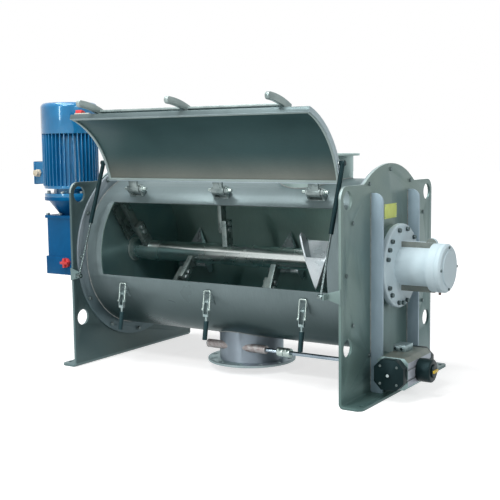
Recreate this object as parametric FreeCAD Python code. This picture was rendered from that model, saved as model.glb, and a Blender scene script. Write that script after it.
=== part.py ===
import FreeCAD, Part
import math
import os

# Horizontal ploughshare mixer, in millimetres. X runs along the drum towards the
# outboard bearing, -Y is the side of the hinged door, and the floor is at Z = 0.
# Angles about the drum axis start at the front horizontal and grow upwards.

# Drum
axis_height = 564.0
drum_bore_radius = 390.0
drum_wall = 6.0
drum_length = 1506.0
ring_radius = 462.0
ring_thickness = 10.0
ring_bolt_circle = 440.0
ring_bolt_count = 12
ring_bolt_radius = 6.0
ring_bolt_clearance = 1.0

# End plates with the foot turned outwards
plate_thickness = 12.0
plate_half_width = 489.0
plate_shoulder_rise = 380.0
plate_corner_radius = 52.0
plate_dome_radius = 467.0
plate_neck_radius = 30.0
foot_depth = 94.0
foot_bend_radius = 10.0
foot_corner_radius = 30.0
anchor_hole_radius = 9.0
anchor_offset = 72.0
anchor_half_span = 442.0
lifting_hole_radius = 40.0
lifting_hole_edge = 62.0
lifting_hole_drop = 61.5
lifting_hole_lower_z = 252.0
rib_y = 200.0
rib_thickness = 12.0
rib_depth = 58.0
rib_top_drop = 39.0
rib_corner_radius = 40.0

# Door opening and door
opening_low_angle = -13.0
opening_high_angle = 44.0
opening_end_margin = 106.0
door_low_angle = -15.5
door_high_angle = 46.7
door_overlap = 17.0
door_open_angle = 122.9
door_skin = 5.0
door_skin_radius = 402.0
door_rim_radius = 398.0
door_rim_depth = 24.0
door_rim_thickness = 6.0
seal_gap = 0.4
seal_width = 10.5
hinge_radius = 432.0
hinge_angle = 52.65
hinge_positions = (-520.0, 0.0, 520.0)
hinge_pin_radius = 8.0
hinge_barrel_radius = 23.0
hinge_barrel_length = 64.0
hinge_lug_radius = 20.0
hinge_lug_thickness = 10.0
hinge_pin_reach = 24.0
hinge_base_thickness = 5.0
side_clearance = 1.0
pin_clearance = 0.05

# Keeper arms over the free edge of the door
keeper_positions = (-520.0, 0.0, 520.0)
keeper_width = 20.0
keeper_inner_radius = 433.0
keeper_depth = 32.0
keeper_tip_angle = -28.0
keeper_root_angle = -6.0
keeper_bar_depth = 11.0
keeper_bar_height = 20.0
keeper_bar_radius = 444.0
keeper_bar_angle = -9.5

# Over-centre latches below the opening
latch_positions = (-520.0, 0.0, 520.0)
latch_pivot_radius = 421.0
latch_pivot_angle = -25.2
latch_cross_radius = 448.0
latch_cross_angle = -28.4
latch_boss_radius = 8.0
latch_pin_radius = 4.0
latch_cheek_thickness = 2.5
latch_base_half_width = 9.0
latch_foot_half_width = 20.0
latch_foot_thickness = 2.5
latch_foot_height = 60.0
latch_bow_wire_radius = 3.0
latch_eye_half_width = 3.5
latch_bow_radius = 402.0
latch_bow_angle = -18.3
latch_bridge_drop = 27.0
latch_neck_radius = 5.5
latch_neck_end = 56.0
latch_grip_radius = 11.5
latch_grip_length = 90.0
latch_grip_lean = 9.8

# Gas struts
strut_side_offset = 20.0
strut_foot_reach = 31.0
strut_foot_drop = 83.0
strut_bracket_plate = 8.0
strut_door_radius = 411.0
strut_door_angle = 33.5
strut_rod_radius = 5.0
strut_tube_radius = 10.5
strut_tube_wall = 2.0
strut_tube_length = 308.0
strut_eye_radius = 12.0
strut_eye_width = 24.0
strut_rod_overlap = 40.0
strut_stud_gap = 0.3

# Filling nozzle on top of the drum
inlet_x = 377.0
inlet_radius = 177.8
inlet_wall = 4.0
inlet_rise = 511.0
inlet_flange_radius = 207.5
inlet_flange_thickness = 10.0
inlet_bolt_circle = 195.0
inlet_hole_radius = 5.5

# Outlet pipe with its flange and the swinging flap
outlet_x = 0.0
outlet_radius = 161.95
outlet_wall = 4.0
outlet_bottom_z = 38.0
outlet_flange_radius = 222.5
outlet_flange_thickness = 11.0
outlet_bolt_circle = 200.0
outlet_hole_radius = 11.0
flange_hole_count = 12
flap_radius = 140.0
flap_gap = 4.0
flap_thickness = 8.0
flap_arm_x = 35.0
flap_arm_thickness = 12.0
flap_hub_radius = 15.0
flap_shaft_y = -135.0
flap_shaft_drop = 43.0
flap_shaft_radius = 10.0
flap_boss_radius = 21.0
flap_boss_end = 172.0
coupling_x = 241.0
coupling_length = 70.0
coupling_radius = 22.0
coupling_slot = 2.0
plate_hole_clearance = 4.0

# Mixing shaft, arms and ploughs
shaft_radius = 53.0
journal_radius = 45.0
drive_journal_radius = 40.0
shaft_right_end = 1015.0
shaft_left_end = -1290.0
shaft_step_x = 800.0
drive_step_x = -950.0
wall_clearance = 10.0
plough_positions = (-580.0, -354.0, -150.0, 18.0, 146.0, 380.0, 578.0)
plough_angles = (195.0, -45.0, 85.0, 195.0, -65.0, 235.0, 17.0)
plough_tip_angle = -29.6
plough_back_angle = 6.5
plough_half_width = 94.0
plough_height = 76.0
plough_ear_angle = 6.0
plough_ear_inset = 17.0
plough_wall = 8.0
stub_thickness = 28.0
stub_half_height = 28.0
stub_end_radius = 178.0
holder_thickness = 22.0
holder_half_height = 22.0
holder_start_radius = 112.0
arm_bolt_radii = (130.0, 160.0)
arm_bolt_radius = 8.0
scraper_x = 655.0
scraper_angles = (55.0, 235.0)
scraper_thickness = 10.0
scraper_half_height = 30.0
scraper_inner_radius = 90.0
scraper_bar_depth = 30.0
scraper_reach = 60.0

# Shaft seals and bearings
seal_bore_radius = 62.0
seal_lip_radius = 66.0
seal_lip_thickness = 4.0
seal_housing_radius = 185.0
seal_housing_length = 35.0
housing_flange_radius = 193.0
housing_flange_thickness = 26.0
housing_edge_radius = 10.0
housing_tube_radius = 88.0
housing_tube_length = 155.0
housing_bore_radius = 70.0
housing_head_radius = 110.0
housing_head_length = 39.0
housing_web_radius = 113.0
housing_web_thickness = 24.0
housing_lug_radius = 26.0
housing_lug_height = 22.0
housing_lug_offset = 12.0
housing_lug_thickness = 20.0
housing_drain_radius = 6.0
housing_drain_length = 12.0
cap_length = 36.0
cap_chamfer = 10.0
cap_boss_radius = 82.0
cap_boss_height = 7.0
cap_boss_edge = 4.0
flange_bolt_circle = 171.0
flange_bolt_pitch = 15.0
flange_bolt_steps = (1, 2, 3, 5, 7, 9, 10, 11, 13, 14, 15, 17, 18, 19, 21, 22)
socket_head_radius = 10.0
socket_head_height = 12.0
bearing_width = 24.0
left_housing_length = 120.0
left_end_flange_radius = 125.0
left_end_flange_thickness = 20.0

# Gear unit and vertical motor
motor_x = -1212.0
gear_half_width = 105.0
gear_half_depth = 105.0
gear_bottom_drop = 159.0
gear_top_rise = 174.0
gear_edge_radius = 18.0
gear_cover_margin = 9.0
gear_foot_height = 100.0
gear_cap_height = 16.0
gear_neck_radius = 85.0
gear_side_boss_radius = 42.0
gear_side_boss_rise = 76.0
gear_side_boss_length = 16.0
adapter_small_radius = 66.0
adapter_large_radius = 130.0
adapter_cone_height = 84.0
adapter_flange_radius = 152.0
adapter_flange_thickness = 20.0
adapter_bore_radius = 34.0
motor_neck_radius = 100.0
motor_neck_length = 43.0
motor_shield_thickness = 16.0
motor_core_radius = 126.0
motor_fin_radius = 157.0
motor_fin_length = 290.0
motor_fin_count = 40
motor_fin_thickness = 4.0
motor_cavity_radius = 95.0
rotor_core_radius = 94.0
rotor_shaft_radius = 19.0
cowl_radius = 159.0
cowl_wall = 3.0
cowl_height = 172.0
cowl_edge_radius = 28.0
cowl_slot_count = 16
cowl_slot_width = 7.0
fan_radius = 120.0
fan_blade_count = 8
fan_height = 60.0
fan_blade_thickness = 4.0
terminal_pad = 4.0
terminal_depth = 75.0
terminal_half_width = 60.0
terminal_height = 132.0
terminal_rise = 3.0
terminal_lid = 12.0
gland_radius = 20.0
gland_length = 30.0
plug_radius = 26.0
plug_length = 30.0
plug_offset = 55.0
plug_rise = 70.0

# Pneumatic actuator of the flap
actuator_gap = 61.0
actuator_width = 145.0
actuator_half_height = 70.0
actuator_half_length = 127.0
actuator_cap_length = 45.0
actuator_chamfer = 18.0
actuator_cap_chamfer = 34.0
actuator_cap_inset = 3.0
console_half_width = 50.0
console_half_height = 50.0
console_wall = 8.0
switch_box_radius = 52.0
switch_box_length = 64.0
indicator_radius = 30.0
indicator_length = 14.0
air_block_width = 60.0
air_block_depth = 80.0
air_block_height = 28.0

# Plain plate on the right end plate
label_half_width = 65.0
label_height = 66.0
label_rise = 216.0
label_thickness = 2.0

# Places that follow from the sizes above
shell_outer_radius = drum_bore_radius + drum_wall
plate_inner_x = drum_length / 2
plate_outer_x = plate_inner_x + plate_thickness
scraper_positions = (-scraper_x, scraper_x - stub_thickness)
plate_shoulder_height = axis_height + plate_shoulder_rise
lifting_hole_y = plate_half_width - lifting_hole_edge
lifting_hole_upper_z = plate_shoulder_height - lifting_hole_drop
rib_top_z = plate_shoulder_height - rib_top_drop
opening_half_length = plate_inner_x - opening_end_margin
door_half_length = opening_half_length + door_overlap
strut_x = door_half_length + strut_side_offset
strut_foot_y = -plate_half_width - strut_foot_reach
strut_foot_z = axis_height - strut_foot_drop
inlet_top_z = axis_height + inlet_rise
flap_shaft_z = axis_height - shell_outer_radius - flap_shaft_drop
gear_bottom_z = axis_height - gear_bottom_drop
gear_top_z = axis_height + gear_top_rise
gear_side_boss_z = axis_height + gear_side_boss_rise
adapter_cone_top_z = gear_top_z + adapter_cone_height
motor_fin_z = adapter_cone_top_z + 2 * adapter_flange_thickness + motor_neck_length
terminal_bottom_z = motor_fin_z + terminal_rise
plug_x = motor_x + plug_offset
plug_z = gear_bottom_z + plug_rise
label_bottom_z = axis_height + label_rise
latch_cheek_x = keeper_width / 2 + side_clearance
latch_bow_x = latch_cheek_x + latch_cheek_thickness + side_clearance / 2 + latch_eye_half_width
X_AXIS = FreeCAD.Vector(1, 0, 0)
Y_AXIS = FreeCAD.Vector(0, 1, 0)
Z_AXIS = FreeCAD.Vector(0, 0, 1)
drum_axis = FreeCAD.Vector(0, 0, axis_height)


def box(x0, x1, y0, y1, z0, z1):
    return Part.makeBox(x1 - x0, y1 - y0, z1 - z0, FreeCAD.Vector(x0, y0, z0))


def rod_x(x0, x1, y, z, radius):
    return Part.makeCylinder(radius, x1 - x0, FreeCAD.Vector(x0, y, z), X_AXIS)


def rod_y(y0, y1, x, z, radius):
    return Part.makeCylinder(radius, y1 - y0, FreeCAD.Vector(x, y0, z), Y_AXIS)


def rod_z(z0, z1, x, y, radius):
    return Part.makeCylinder(radius, z1 - z0, FreeCAD.Vector(x, y, z0), Z_AXIS)


def rod_between(start, end, radius):
    return Part.makeCylinder(radius, (end - start).Length, start, end - start)


def bent_rod(points, bend, radius):
    """Round rod along straight runs joined by arcs that start one bend length from each corner."""
    edges = []
    start = points[0]
    for before, corner, after in zip(points, points[1:], points[2:]):
        arc_start = corner + (before - corner).normalize() * bend
        arc_end = corner + (after - corner).normalize() * bend
        middle = corner + (arc_start + arc_end - corner * 2) * (1 - math.sqrt(0.5))
        edges.append(Part.LineSegment(start, arc_start).toShape())
        edges.append(Part.Arc(arc_start, middle, arc_end).toShape())
        start = arc_end
    edges.append(Part.LineSegment(start, points[-1]).toShape())
    section = Part.Wire(Part.makeCircle(radius, points[0], points[1] - points[0]))
    return Part.Wire(edges).makePipeShell([section], True, False)


def tube_x(x0, x1, outer, inner):
    return rod_x(x0, x1, 0, axis_height, outer).cut(rod_x(x0, x1, 0, axis_height, inner))


def tube_z(z0, z1, x, y, outer, inner):
    return rod_z(z0, z1, x, y, outer).cut(rod_z(z0, z1, x, y, inner))


def hexagon(centre, direction, half_flats, height):
    """Hexagonal prism that starts at the centre and grows along the direction."""
    corner = half_flats / math.cos(math.radians(30))
    points = []
    for k in range(7):
        a = math.radians(60 * k)
        points.append(FreeCAD.Vector(corner * math.cos(a), corner * math.sin(a), 0))
    prism = Part.Face(Part.makePolygon(points)).extrude(FreeCAD.Vector(0, 0, height))
    prism.Placement = FreeCAD.Placement(centre, FreeCAD.Rotation(Z_AXIS, direction))
    return prism


def union(shapes):
    whole = shapes[0].fuse(shapes[1:])
    return whole.removeSplitter()


def group(solids):
    return Part.makeCompound(solids)


def rounded(shape, radius, direction, test):
    """Round the edges that run along the direction and whose middle passes the test."""
    edges = []
    for edge in shape.Edges:
        middle = edge.valueAt((edge.FirstParameter + edge.LastParameter) / 2)
        straight = edge.Curve.TypeId == "Part::GeomLine"
        if straight and abs(abs(edge.tangentAt(edge.FirstParameter).dot(direction)) - 1) < 1e-6 and test(middle):
            edges.append(edge)
    return shape.makeFillet(radius, edges)


def chamfered(shape, size, direction):
    edges = []
    for edge in shape.Edges:
        straight = edge.Curve.TypeId == "Part::GeomLine"
        if straight and abs(abs(edge.tangentAt(edge.FirstParameter).dot(direction)) - 1) < 1e-6:
            edges.append(edge)
    return shape.makeChamfer(size, edges)


def mirrored(shape):
    return shape.mirror(FreeCAD.Vector(0, 0, 0), X_AXIS)


def drum_point(x, radius, angle):
    a = math.radians(angle)
    return FreeCAD.Vector(x, -radius * math.cos(a), axis_height + radius * math.sin(a))


def drum_sector(x0, x1, inner, outer, low, high):
    """Block between two radii and two angles about the drum axis."""
    middle = (low + high) / 2
    outline = Part.Wire([
        Part.LineSegment(drum_point(x0, inner, low), drum_point(x0, outer, low)).toShape(),
        Part.Arc(drum_point(x0, outer, low), drum_point(x0, outer, middle),
                 drum_point(x0, outer, high)).toShape(),
        Part.LineSegment(drum_point(x0, outer, high), drum_point(x0, inner, high)).toShape(),
        Part.Arc(drum_point(x0, inner, high), drum_point(x0, inner, middle),
                 drum_point(x0, inner, low)).toShape()])
    return Part.Face(outline).extrude(FreeCAD.Vector(x1 - x0, 0, 0))


def turned(shape, angle, x=0.0):
    """Copy of a shape turned about the drum axis by an angle and moved along it."""
    copy = shape.copy()
    copy.rotate(drum_axis, X_AXIS, -angle)
    copy.translate(FreeCAD.Vector(x, 0, 0))
    return copy


def arc_degrees(length, radius):
    return math.degrees(length / radius)


# End plates

def ring_bolt_points(x):
    points = []
    for k in range(ring_bolt_count):
        points.append(drum_point(x, ring_bolt_circle, 90 + 360 * k / ring_bolt_count))
    return points


def foot_profile():
    """Bent foot of the right plate, drawn across the bend and drawn out along Y."""
    y = -plate_half_width
    outer_bend = foot_bend_radius + plate_thickness
    half = math.sqrt(0.5)
    edge = plate_outer_x + foot_depth
    top = 2 * outer_bend
    bend_x = plate_outer_x + foot_bend_radius
    bend_z = outer_bend
    inner_mid = FreeCAD.Vector(bend_x - foot_bend_radius * half, y, bend_z - foot_bend_radius * half)
    outer_mid = FreeCAD.Vector(bend_x - outer_bend * half, y, bend_z - outer_bend * half)
    a = FreeCAD.Vector(plate_inner_x, y, top)
    b = FreeCAD.Vector(plate_inner_x, y, bend_z)
    c = FreeCAD.Vector(bend_x, y, 0)
    d = FreeCAD.Vector(edge, y, 0)
    e = FreeCAD.Vector(edge, y, plate_thickness)
    f = FreeCAD.Vector(bend_x, y, plate_thickness)
    g = FreeCAD.Vector(plate_outer_x, y, bend_z)
    h = FreeCAD.Vector(plate_outer_x, y, top)
    wire = Part.Wire([
        Part.LineSegment(a, b).toShape(),
        Part.Arc(b, outer_mid, c).toShape(),
        Part.LineSegment(c, d).toShape(),
        Part.LineSegment(d, e).toShape(),
        Part.LineSegment(e, f).toShape(),
        Part.Arc(f, inner_mid, g).toShape(),
        Part.LineSegment(g, h).toShape(),
        Part.LineSegment(h, a).toShape()])
    foot = Part.Face(wire).extrude(FreeCAD.Vector(0, 2 * plate_half_width, 0))
    return rounded(foot, foot_corner_radius, Z_AXIS, lambda p: abs(p.x - edge) < 0.1)


def end_plate():
    """Right end plate without the hole of the flap shaft; the left one is its mirror image."""
    web = box(plate_inner_x, plate_outer_x, -plate_half_width, plate_half_width,
              2 * (foot_bend_radius + plate_thickness), plate_shoulder_height)
    web = rounded(web, plate_corner_radius, X_AXIS, lambda p: p.z > plate_shoulder_height - 0.1)
    dome = rod_x(plate_inner_x, plate_outer_x, 0, axis_height, plate_dome_radius)
    plate = union([web, dome])
    neck_y = math.sqrt(plate_dome_radius ** 2 - (plate_shoulder_height - axis_height) ** 2)
    plate = rounded(plate, plate_neck_radius, X_AXIS,
                    lambda p: abs(abs(p.y) - neck_y) < 0.1 and abs(p.z - plate_shoulder_height) < 0.1)
    plate = union([plate, foot_profile()])
    holes = [rod_x(plate_inner_x, plate_outer_x, 0, axis_height, seal_bore_radius)]
    for y in (-lifting_hole_y, lifting_hole_y):
        for z in (lifting_hole_lower_z, lifting_hole_upper_z):
            holes.append(rod_x(plate_inner_x, plate_outer_x, y, z, lifting_hole_radius))
    for y in (-anchor_half_span, anchor_half_span):
        holes.append(rod_z(0, plate_thickness, plate_outer_x + anchor_offset, y, anchor_hole_radius))
    for p in ring_bolt_points(plate_inner_x):
        holes.append(rod_x(plate_inner_x, plate_outer_x, p.y, p.z, ring_bolt_radius + ring_bolt_clearance))
    return plate.cut(holes)


def right_end_plate():
    hole = rod_x(plate_inner_x, plate_outer_x, flap_shaft_y, flap_shaft_z,
                 flap_shaft_radius + plate_hole_clearance)
    return end_plate().cut(hole)


def plate_ribs():
    """Two upright stiffeners on the outside of each end plate."""
    ribs = []
    plate = end_plate()
    edge = plate_outer_x + rib_depth
    for y in (-rib_y, rib_y):
        rib = box(plate_outer_x, edge, y - rib_thickness / 2, y + rib_thickness / 2, plate_thickness, rib_top_z)
        rib = rounded(rib, rib_corner_radius, Y_AXIS, lambda p: p.z > rib_top_z - 0.1 and p.x > edge - 0.1)
        rib = rib.cut(plate)
        ribs.append(rib)
        ribs.append(mirrored(rib))
    return group(ribs)


# Drum

def drum_shell():
    shell = tube_x(-plate_inner_x, plate_inner_x, shell_outer_radius, drum_bore_radius)
    opening = drum_sector(-opening_half_length, opening_half_length, drum_bore_radius - 5,
                          shell_outer_radius + 5, opening_low_angle, opening_high_angle)
    inlet = rod_z(axis_height, inlet_top_z, inlet_x, 0, inlet_radius - inlet_wall)
    outlet = rod_z(outlet_bottom_z, axis_height, outlet_x, 0, flap_radius + flap_gap)
    return shell.cut([opening, inlet, outlet])


def drum_ring():
    """Right ring around the drum end; its bolts pass through the end plate."""
    ring = tube_x(plate_inner_x - ring_thickness, plate_inner_x, ring_radius, shell_outer_radius)
    holes = []
    for p in ring_bolt_points(plate_inner_x):
        holes.append(rod_x(plate_inner_x - ring_thickness, plate_inner_x, p.y, p.z,
                           ring_bolt_radius + ring_bolt_clearance))
    return ring.cut(holes)


def right_drum_ring():
    notch = rod_x(plate_inner_x - ring_thickness, plate_inner_x, flap_shaft_y, flap_shaft_z,
                  flap_shaft_radius + plate_hole_clearance)
    return drum_ring().cut(notch)


def ring_bolts():
    bolts = []
    start = plate_inner_x - ring_thickness
    half_flats = 1.6 * ring_bolt_radius
    nut_height = 1.7 * ring_bolt_radius
    head_height = 1.3 * ring_bolt_radius
    for p in ring_bolt_points(plate_outer_x):
        shank = rod_x(start - nut_height, plate_outer_x, p.y, p.z, ring_bolt_radius)
        head = hexagon(p, X_AXIS, half_flats, head_height)
        nut = hexagon(FreeCAD.Vector(start, p.y, p.z), -X_AXIS, half_flats, nut_height)
        bolt = union([shank, head, nut])
        bolts.append(bolt)
        bolts.append(mirrored(bolt))
    return group(bolts)


def flange_holes(x, z0, z1, circle, radius):
    holes = []
    for k in range(flange_hole_count):
        a = math.radians(360 * (k + 0.5) / flange_hole_count)
        holes.append(rod_z(z0, z1, x + circle * math.cos(a), circle * math.sin(a), radius))
    return holes


def inlet_nozzle():
    bore = inlet_radius - inlet_wall
    pipe = tube_z(axis_height, inlet_top_z, inlet_x, 0, inlet_radius, bore)
    pipe = pipe.cut(rod_x(-plate_inner_x, plate_inner_x, 0, axis_height, shell_outer_radius))
    flange_z = inlet_top_z - inlet_flange_thickness
    flange = tube_z(flange_z, inlet_top_z, inlet_x, 0, inlet_flange_radius, bore)
    nozzle = union([pipe, flange])
    return nozzle.cut(flange_holes(inlet_x, flange_z, inlet_top_z, inlet_bolt_circle, inlet_hole_radius))


def outlet_pipe():
    """Outlet pipe under the drum with a bolted flange and two bosses for the flap shaft."""
    bore = outlet_radius - outlet_wall
    pipe = rod_z(outlet_bottom_z, axis_height, outlet_x, 0, outlet_radius)
    flange_z = outlet_bottom_z + outlet_flange_thickness
    flange = rod_z(outlet_bottom_z, flange_z, outlet_x, 0, outlet_flange_radius)
    boss = rod_x(outlet_x - flap_boss_end, outlet_x + flap_boss_end, flap_shaft_y, flap_shaft_z, flap_boss_radius)
    body = union([pipe, flange, boss])
    tools = flange_holes(outlet_x, outlet_bottom_z, flange_z, outlet_bolt_circle, outlet_hole_radius)
    tools.append(rod_z(outlet_bottom_z, axis_height, outlet_x, 0, bore))
    tools.append(rod_x(-plate_inner_x, plate_inner_x, 0, axis_height, shell_outer_radius))
    tools.append(rod_x(outlet_x - flap_boss_end, outlet_x + flap_boss_end, flap_shaft_y, flap_shaft_z,
                       flap_shaft_radius + pin_clearance))
    return body.cut(tools)


# Discharge flap and its drive

def discharge_flap():
    """Flap curved to the drum bore, with two arms down to the shaft near the front of the outlet."""
    plate = tube_x(-drum_bore_radius, drum_bore_radius, drum_bore_radius + flap_thickness, drum_bore_radius)
    plate = plate.common(rod_z(outlet_bottom_z, axis_height - shell_outer_radius / 2, outlet_x, 0, flap_radius))
    parts = [plate]
    flap_bottom_z = axis_height - drum_bore_radius - flap_thickness
    for x in (outlet_x - flap_arm_x, outlet_x + flap_arm_x):
        x0 = x - flap_arm_thickness / 2
        hub = rod_x(x0, x0 + flap_arm_thickness, flap_shaft_y, flap_shaft_z, flap_hub_radius)
        points = [
            FreeCAD.Vector(x0, flap_shaft_y, flap_shaft_z - flap_hub_radius),
            FreeCAD.Vector(x0, flap_radius / 2, flap_bottom_z - flap_thickness),
            FreeCAD.Vector(x0, flap_radius / 2, axis_height - drum_bore_radius),
            FreeCAD.Vector(x0, flap_shaft_y + flap_hub_radius, flap_bottom_z + flap_hub_radius),
            FreeCAD.Vector(x0, flap_shaft_y - flap_hub_radius / 2, flap_shaft_z + flap_hub_radius / 2),
            FreeCAD.Vector(x0, flap_shaft_y, flap_shaft_z - flap_hub_radius)]
        arm = Part.Face(Part.makePolygon(points)).extrude(FreeCAD.Vector(flap_arm_thickness, 0, 0))
        arm = arm.cut(rod_x(x0, x0 + flap_arm_thickness, 0, axis_height, drum_bore_radius + flap_thickness / 2))
        parts.append(hub)
        parts.append(arm)
    flap = union(parts)
    return flap.cut(rod_x(-flap_radius, flap_radius, flap_shaft_y, flap_shaft_z, flap_shaft_radius))


def flap_shaft():
    """Two shafts in line, joined by the clamp coupling, up to the dial of the switch box."""
    start = outlet_x - flap_boss_end - flap_shaft_radius
    joint = coupling_x + coupling_length / 2
    near = rod_x(start, joint - coupling_slot / 2, flap_shaft_y, flap_shaft_z, flap_shaft_radius)
    far = rod_x(joint + coupling_slot / 2, switch_box_x() + switch_box_length + strut_stud_gap,
                flap_shaft_y, flap_shaft_z, flap_shaft_radius)
    return group([near, far])


def flap_coupling():
    """Clamp coupling, split along its length, with two clamp screws on each half."""
    end = coupling_x + coupling_length
    body = rod_x(coupling_x, end, flap_shaft_y, flap_shaft_z, coupling_radius)
    slot = box(coupling_x, end, flap_shaft_y - coupling_slot / 2, flap_shaft_y + coupling_slot / 2,
               flap_shaft_z, flap_shaft_z + coupling_radius)
    groove = coupling_groove((coupling_x + end) / 2)
    bore = rod_x(coupling_x, end, flap_shaft_y, flap_shaft_z, flap_shaft_radius)
    body = body.cut([slot, groove, bore])
    solids = [body]
    for x in (coupling_x + coupling_length / 5, end - coupling_length / 5):
        seat_y = flap_shaft_y - coupling_radius
        solids.append(rod_y(seat_y - coupling_radius / 3, seat_y + coupling_radius / 4, x,
                            flap_shaft_z + coupling_radius * 0.7, coupling_radius / 5))
    screws = solids[1:]
    return group([body.cut(screws)] + screws)


def coupling_groove(x):
    half = coupling_slot
    outer = rod_x(x - half, x + half, flap_shaft_y, flap_shaft_z, coupling_radius + 1)
    return outer.cut(rod_x(x - half, x + half, flap_shaft_y, flap_shaft_z, coupling_radius * 0.85))


def actuator_x():
    return plate_outer_x + actuator_gap


def switch_box_x():
    return actuator_x() + actuator_width


def actuator_body():
    x0 = actuator_x()
    y0 = flap_shaft_y - actuator_half_length
    body = box(x0, x0 + actuator_width, y0, y0 + 2 * actuator_half_length,
               flap_shaft_z - actuator_half_height, flap_shaft_z + actuator_half_height)
    body = chamfered(body, actuator_chamfer, Y_AXIS)
    groove_depth = actuator_chamfer / 4
    grooves = []
    for z in (-actuator_half_height / 3, actuator_half_height / 3):
        grooves.append(box(x0 + actuator_width - groove_depth, x0 + actuator_width, y0,
                           y0 + 2 * actuator_half_length, flap_shaft_z + z - groove_depth,
                           flap_shaft_z + z + groove_depth))
    bore = rod_x(x0, x0 + actuator_width, flap_shaft_y, flap_shaft_z, flap_shaft_radius + pin_clearance)
    return body.cut(grooves + [bore])


def actuator_end_caps():
    """Octagonal caps at both ends of the actuator, each with its adjusting screw."""
    x0 = actuator_x() + actuator_cap_inset
    x1 = actuator_x() + actuator_width - actuator_cap_inset
    z0 = flap_shaft_z - actuator_half_height + actuator_cap_inset
    z1 = flap_shaft_z + actuator_half_height - actuator_cap_inset
    caps = []
    for side in (-1, 1):
        seat = flap_shaft_y + side * actuator_half_length
        end = seat + side * actuator_cap_length
        cap = box(x0, x1, min(seat, end), max(seat, end), z0, z1)
        cap = chamfered(cap, actuator_cap_chamfer, Y_AXIS)
        screw = hexagon(FreeCAD.Vector((x0 + x1) / 2, end, flap_shaft_z), Y_AXIS * side,
                        actuator_cap_inset * 3, actuator_cap_inset * 3)
        caps.append(union([cap, screw]))
    return group(caps)


def actuator_console():
    """Open box section between the end plate and the actuator, round the flap shaft."""
    y0 = flap_shaft_y - console_half_width
    y1 = flap_shaft_y + console_half_width
    z0 = flap_shaft_z - console_half_height
    z1 = flap_shaft_z + console_half_height
    outer = box(plate_outer_x, actuator_x(), y0, y1, z0, z1)
    inner = box(plate_outer_x + console_wall, actuator_x() - console_wall, y0, y1,
                z0 + console_wall, z1 - console_wall)
    bore = rod_x(plate_outer_x, actuator_x(), flap_shaft_y, flap_shaft_z,
                 flap_shaft_radius + plate_hole_clearance)
    return outer.cut([inner, bore])


def switch_box():
    x0 = switch_box_x()
    body = rod_x(x0, x0 + switch_box_length, flap_shaft_y, flap_shaft_z, switch_box_radius)
    body = body.makeChamfer(switch_box_radius / 10, [body.Edges[0]])
    bore = rod_x(x0, x0 + switch_box_length, flap_shaft_y, flap_shaft_z, flap_shaft_radius + pin_clearance)
    return body.cut(bore)


def position_indicator():
    """Dial on the end of the flap shaft, with a raised bar that shows the flap's position."""
    x0 = switch_box_x() + switch_box_length + strut_stud_gap
    dial = rod_x(x0, x0 + indicator_length / 2, flap_shaft_y, flap_shaft_z, indicator_radius)
    bar = box(x0 + indicator_length / 2, x0 + indicator_length, flap_shaft_y - indicator_radius * 0.8,
              flap_shaft_y + indicator_radius * 0.8, flap_shaft_z - indicator_radius / 5,
              flap_shaft_z + indicator_radius / 5)
    return union([dial, bar])


def air_block():
    """Valve block on top of the actuator with two push-in fittings on its front."""
    x0 = actuator_x() + actuator_chamfer
    y0 = flap_shaft_y
    z0 = flap_shaft_z + actuator_half_height
    block = box(x0, x0 + air_block_width, y0, y0 + air_block_depth, z0, z0 + air_block_height)
    fittings = []
    for x in (x0 + air_block_width / 4, x0 + 3 * air_block_width / 4):
        fittings.append(rod_y(y0 - air_block_height / 2, y0, x, z0 + air_block_height / 2, air_block_height / 4))
    return union([block] + fittings)


# Door

hinge_point = drum_point(0, hinge_radius, hinge_angle)


def opened(shape):
    """The door and what it carries are drawn closed and stand open at rest."""
    copy = shape.copy()
    copy.rotate(hinge_point, X_AXIS, -door_open_angle)
    return copy


def door_inside(inner, outer, inset):
    """Block inside the door's rim, drawn in by the inset."""
    angle = arc_degrees(door_rim_thickness + inset, door_skin_radius)
    half = door_half_length - door_rim_thickness - inset
    return drum_sector(-half, half, inner, outer, door_low_angle + angle, door_high_angle - angle)


def door_rim():
    outer_radius = door_rim_radius + door_rim_depth
    block = drum_sector(-door_half_length, door_half_length, door_rim_radius, outer_radius,
                        door_low_angle, door_high_angle)
    return opened(block.cut(door_inside(door_rim_radius - 5, outer_radius + 5, 0)))


def door_panel():
    return opened(door_inside(door_skin_radius, door_skin_radius + door_skin, 0))


def door_seal():
    inner = shell_outer_radius + seal_gap
    strip = door_inside(inner, door_skin_radius, 0)
    return opened(strip.cut(door_inside(inner - 5, door_skin_radius + 5, seal_width)))


def door_knuckles():
    """Three hinge barrels with the strap that joins each to the door's rim."""
    knuckles = []
    half = hinge_barrel_length / 2
    rim_top = door_rim_radius + door_rim_depth
    for x in hinge_positions:
        barrel = rod_x(x - half, x + half, hinge_point.y, hinge_point.z, hinge_barrel_radius)
        strap = drum_sector(x - half * 0.8, x + half * 0.8, rim_top - door_rim_depth / 2, rim_top,
                            door_high_angle, hinge_angle - 1)
        bore = rod_x(x - half, x + half, hinge_point.y, hinge_point.z, hinge_pin_radius + pin_clearance)
        knuckles.append(opened(union([barrel, strap]).cut(bore)))
    return group(knuckles)


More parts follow.
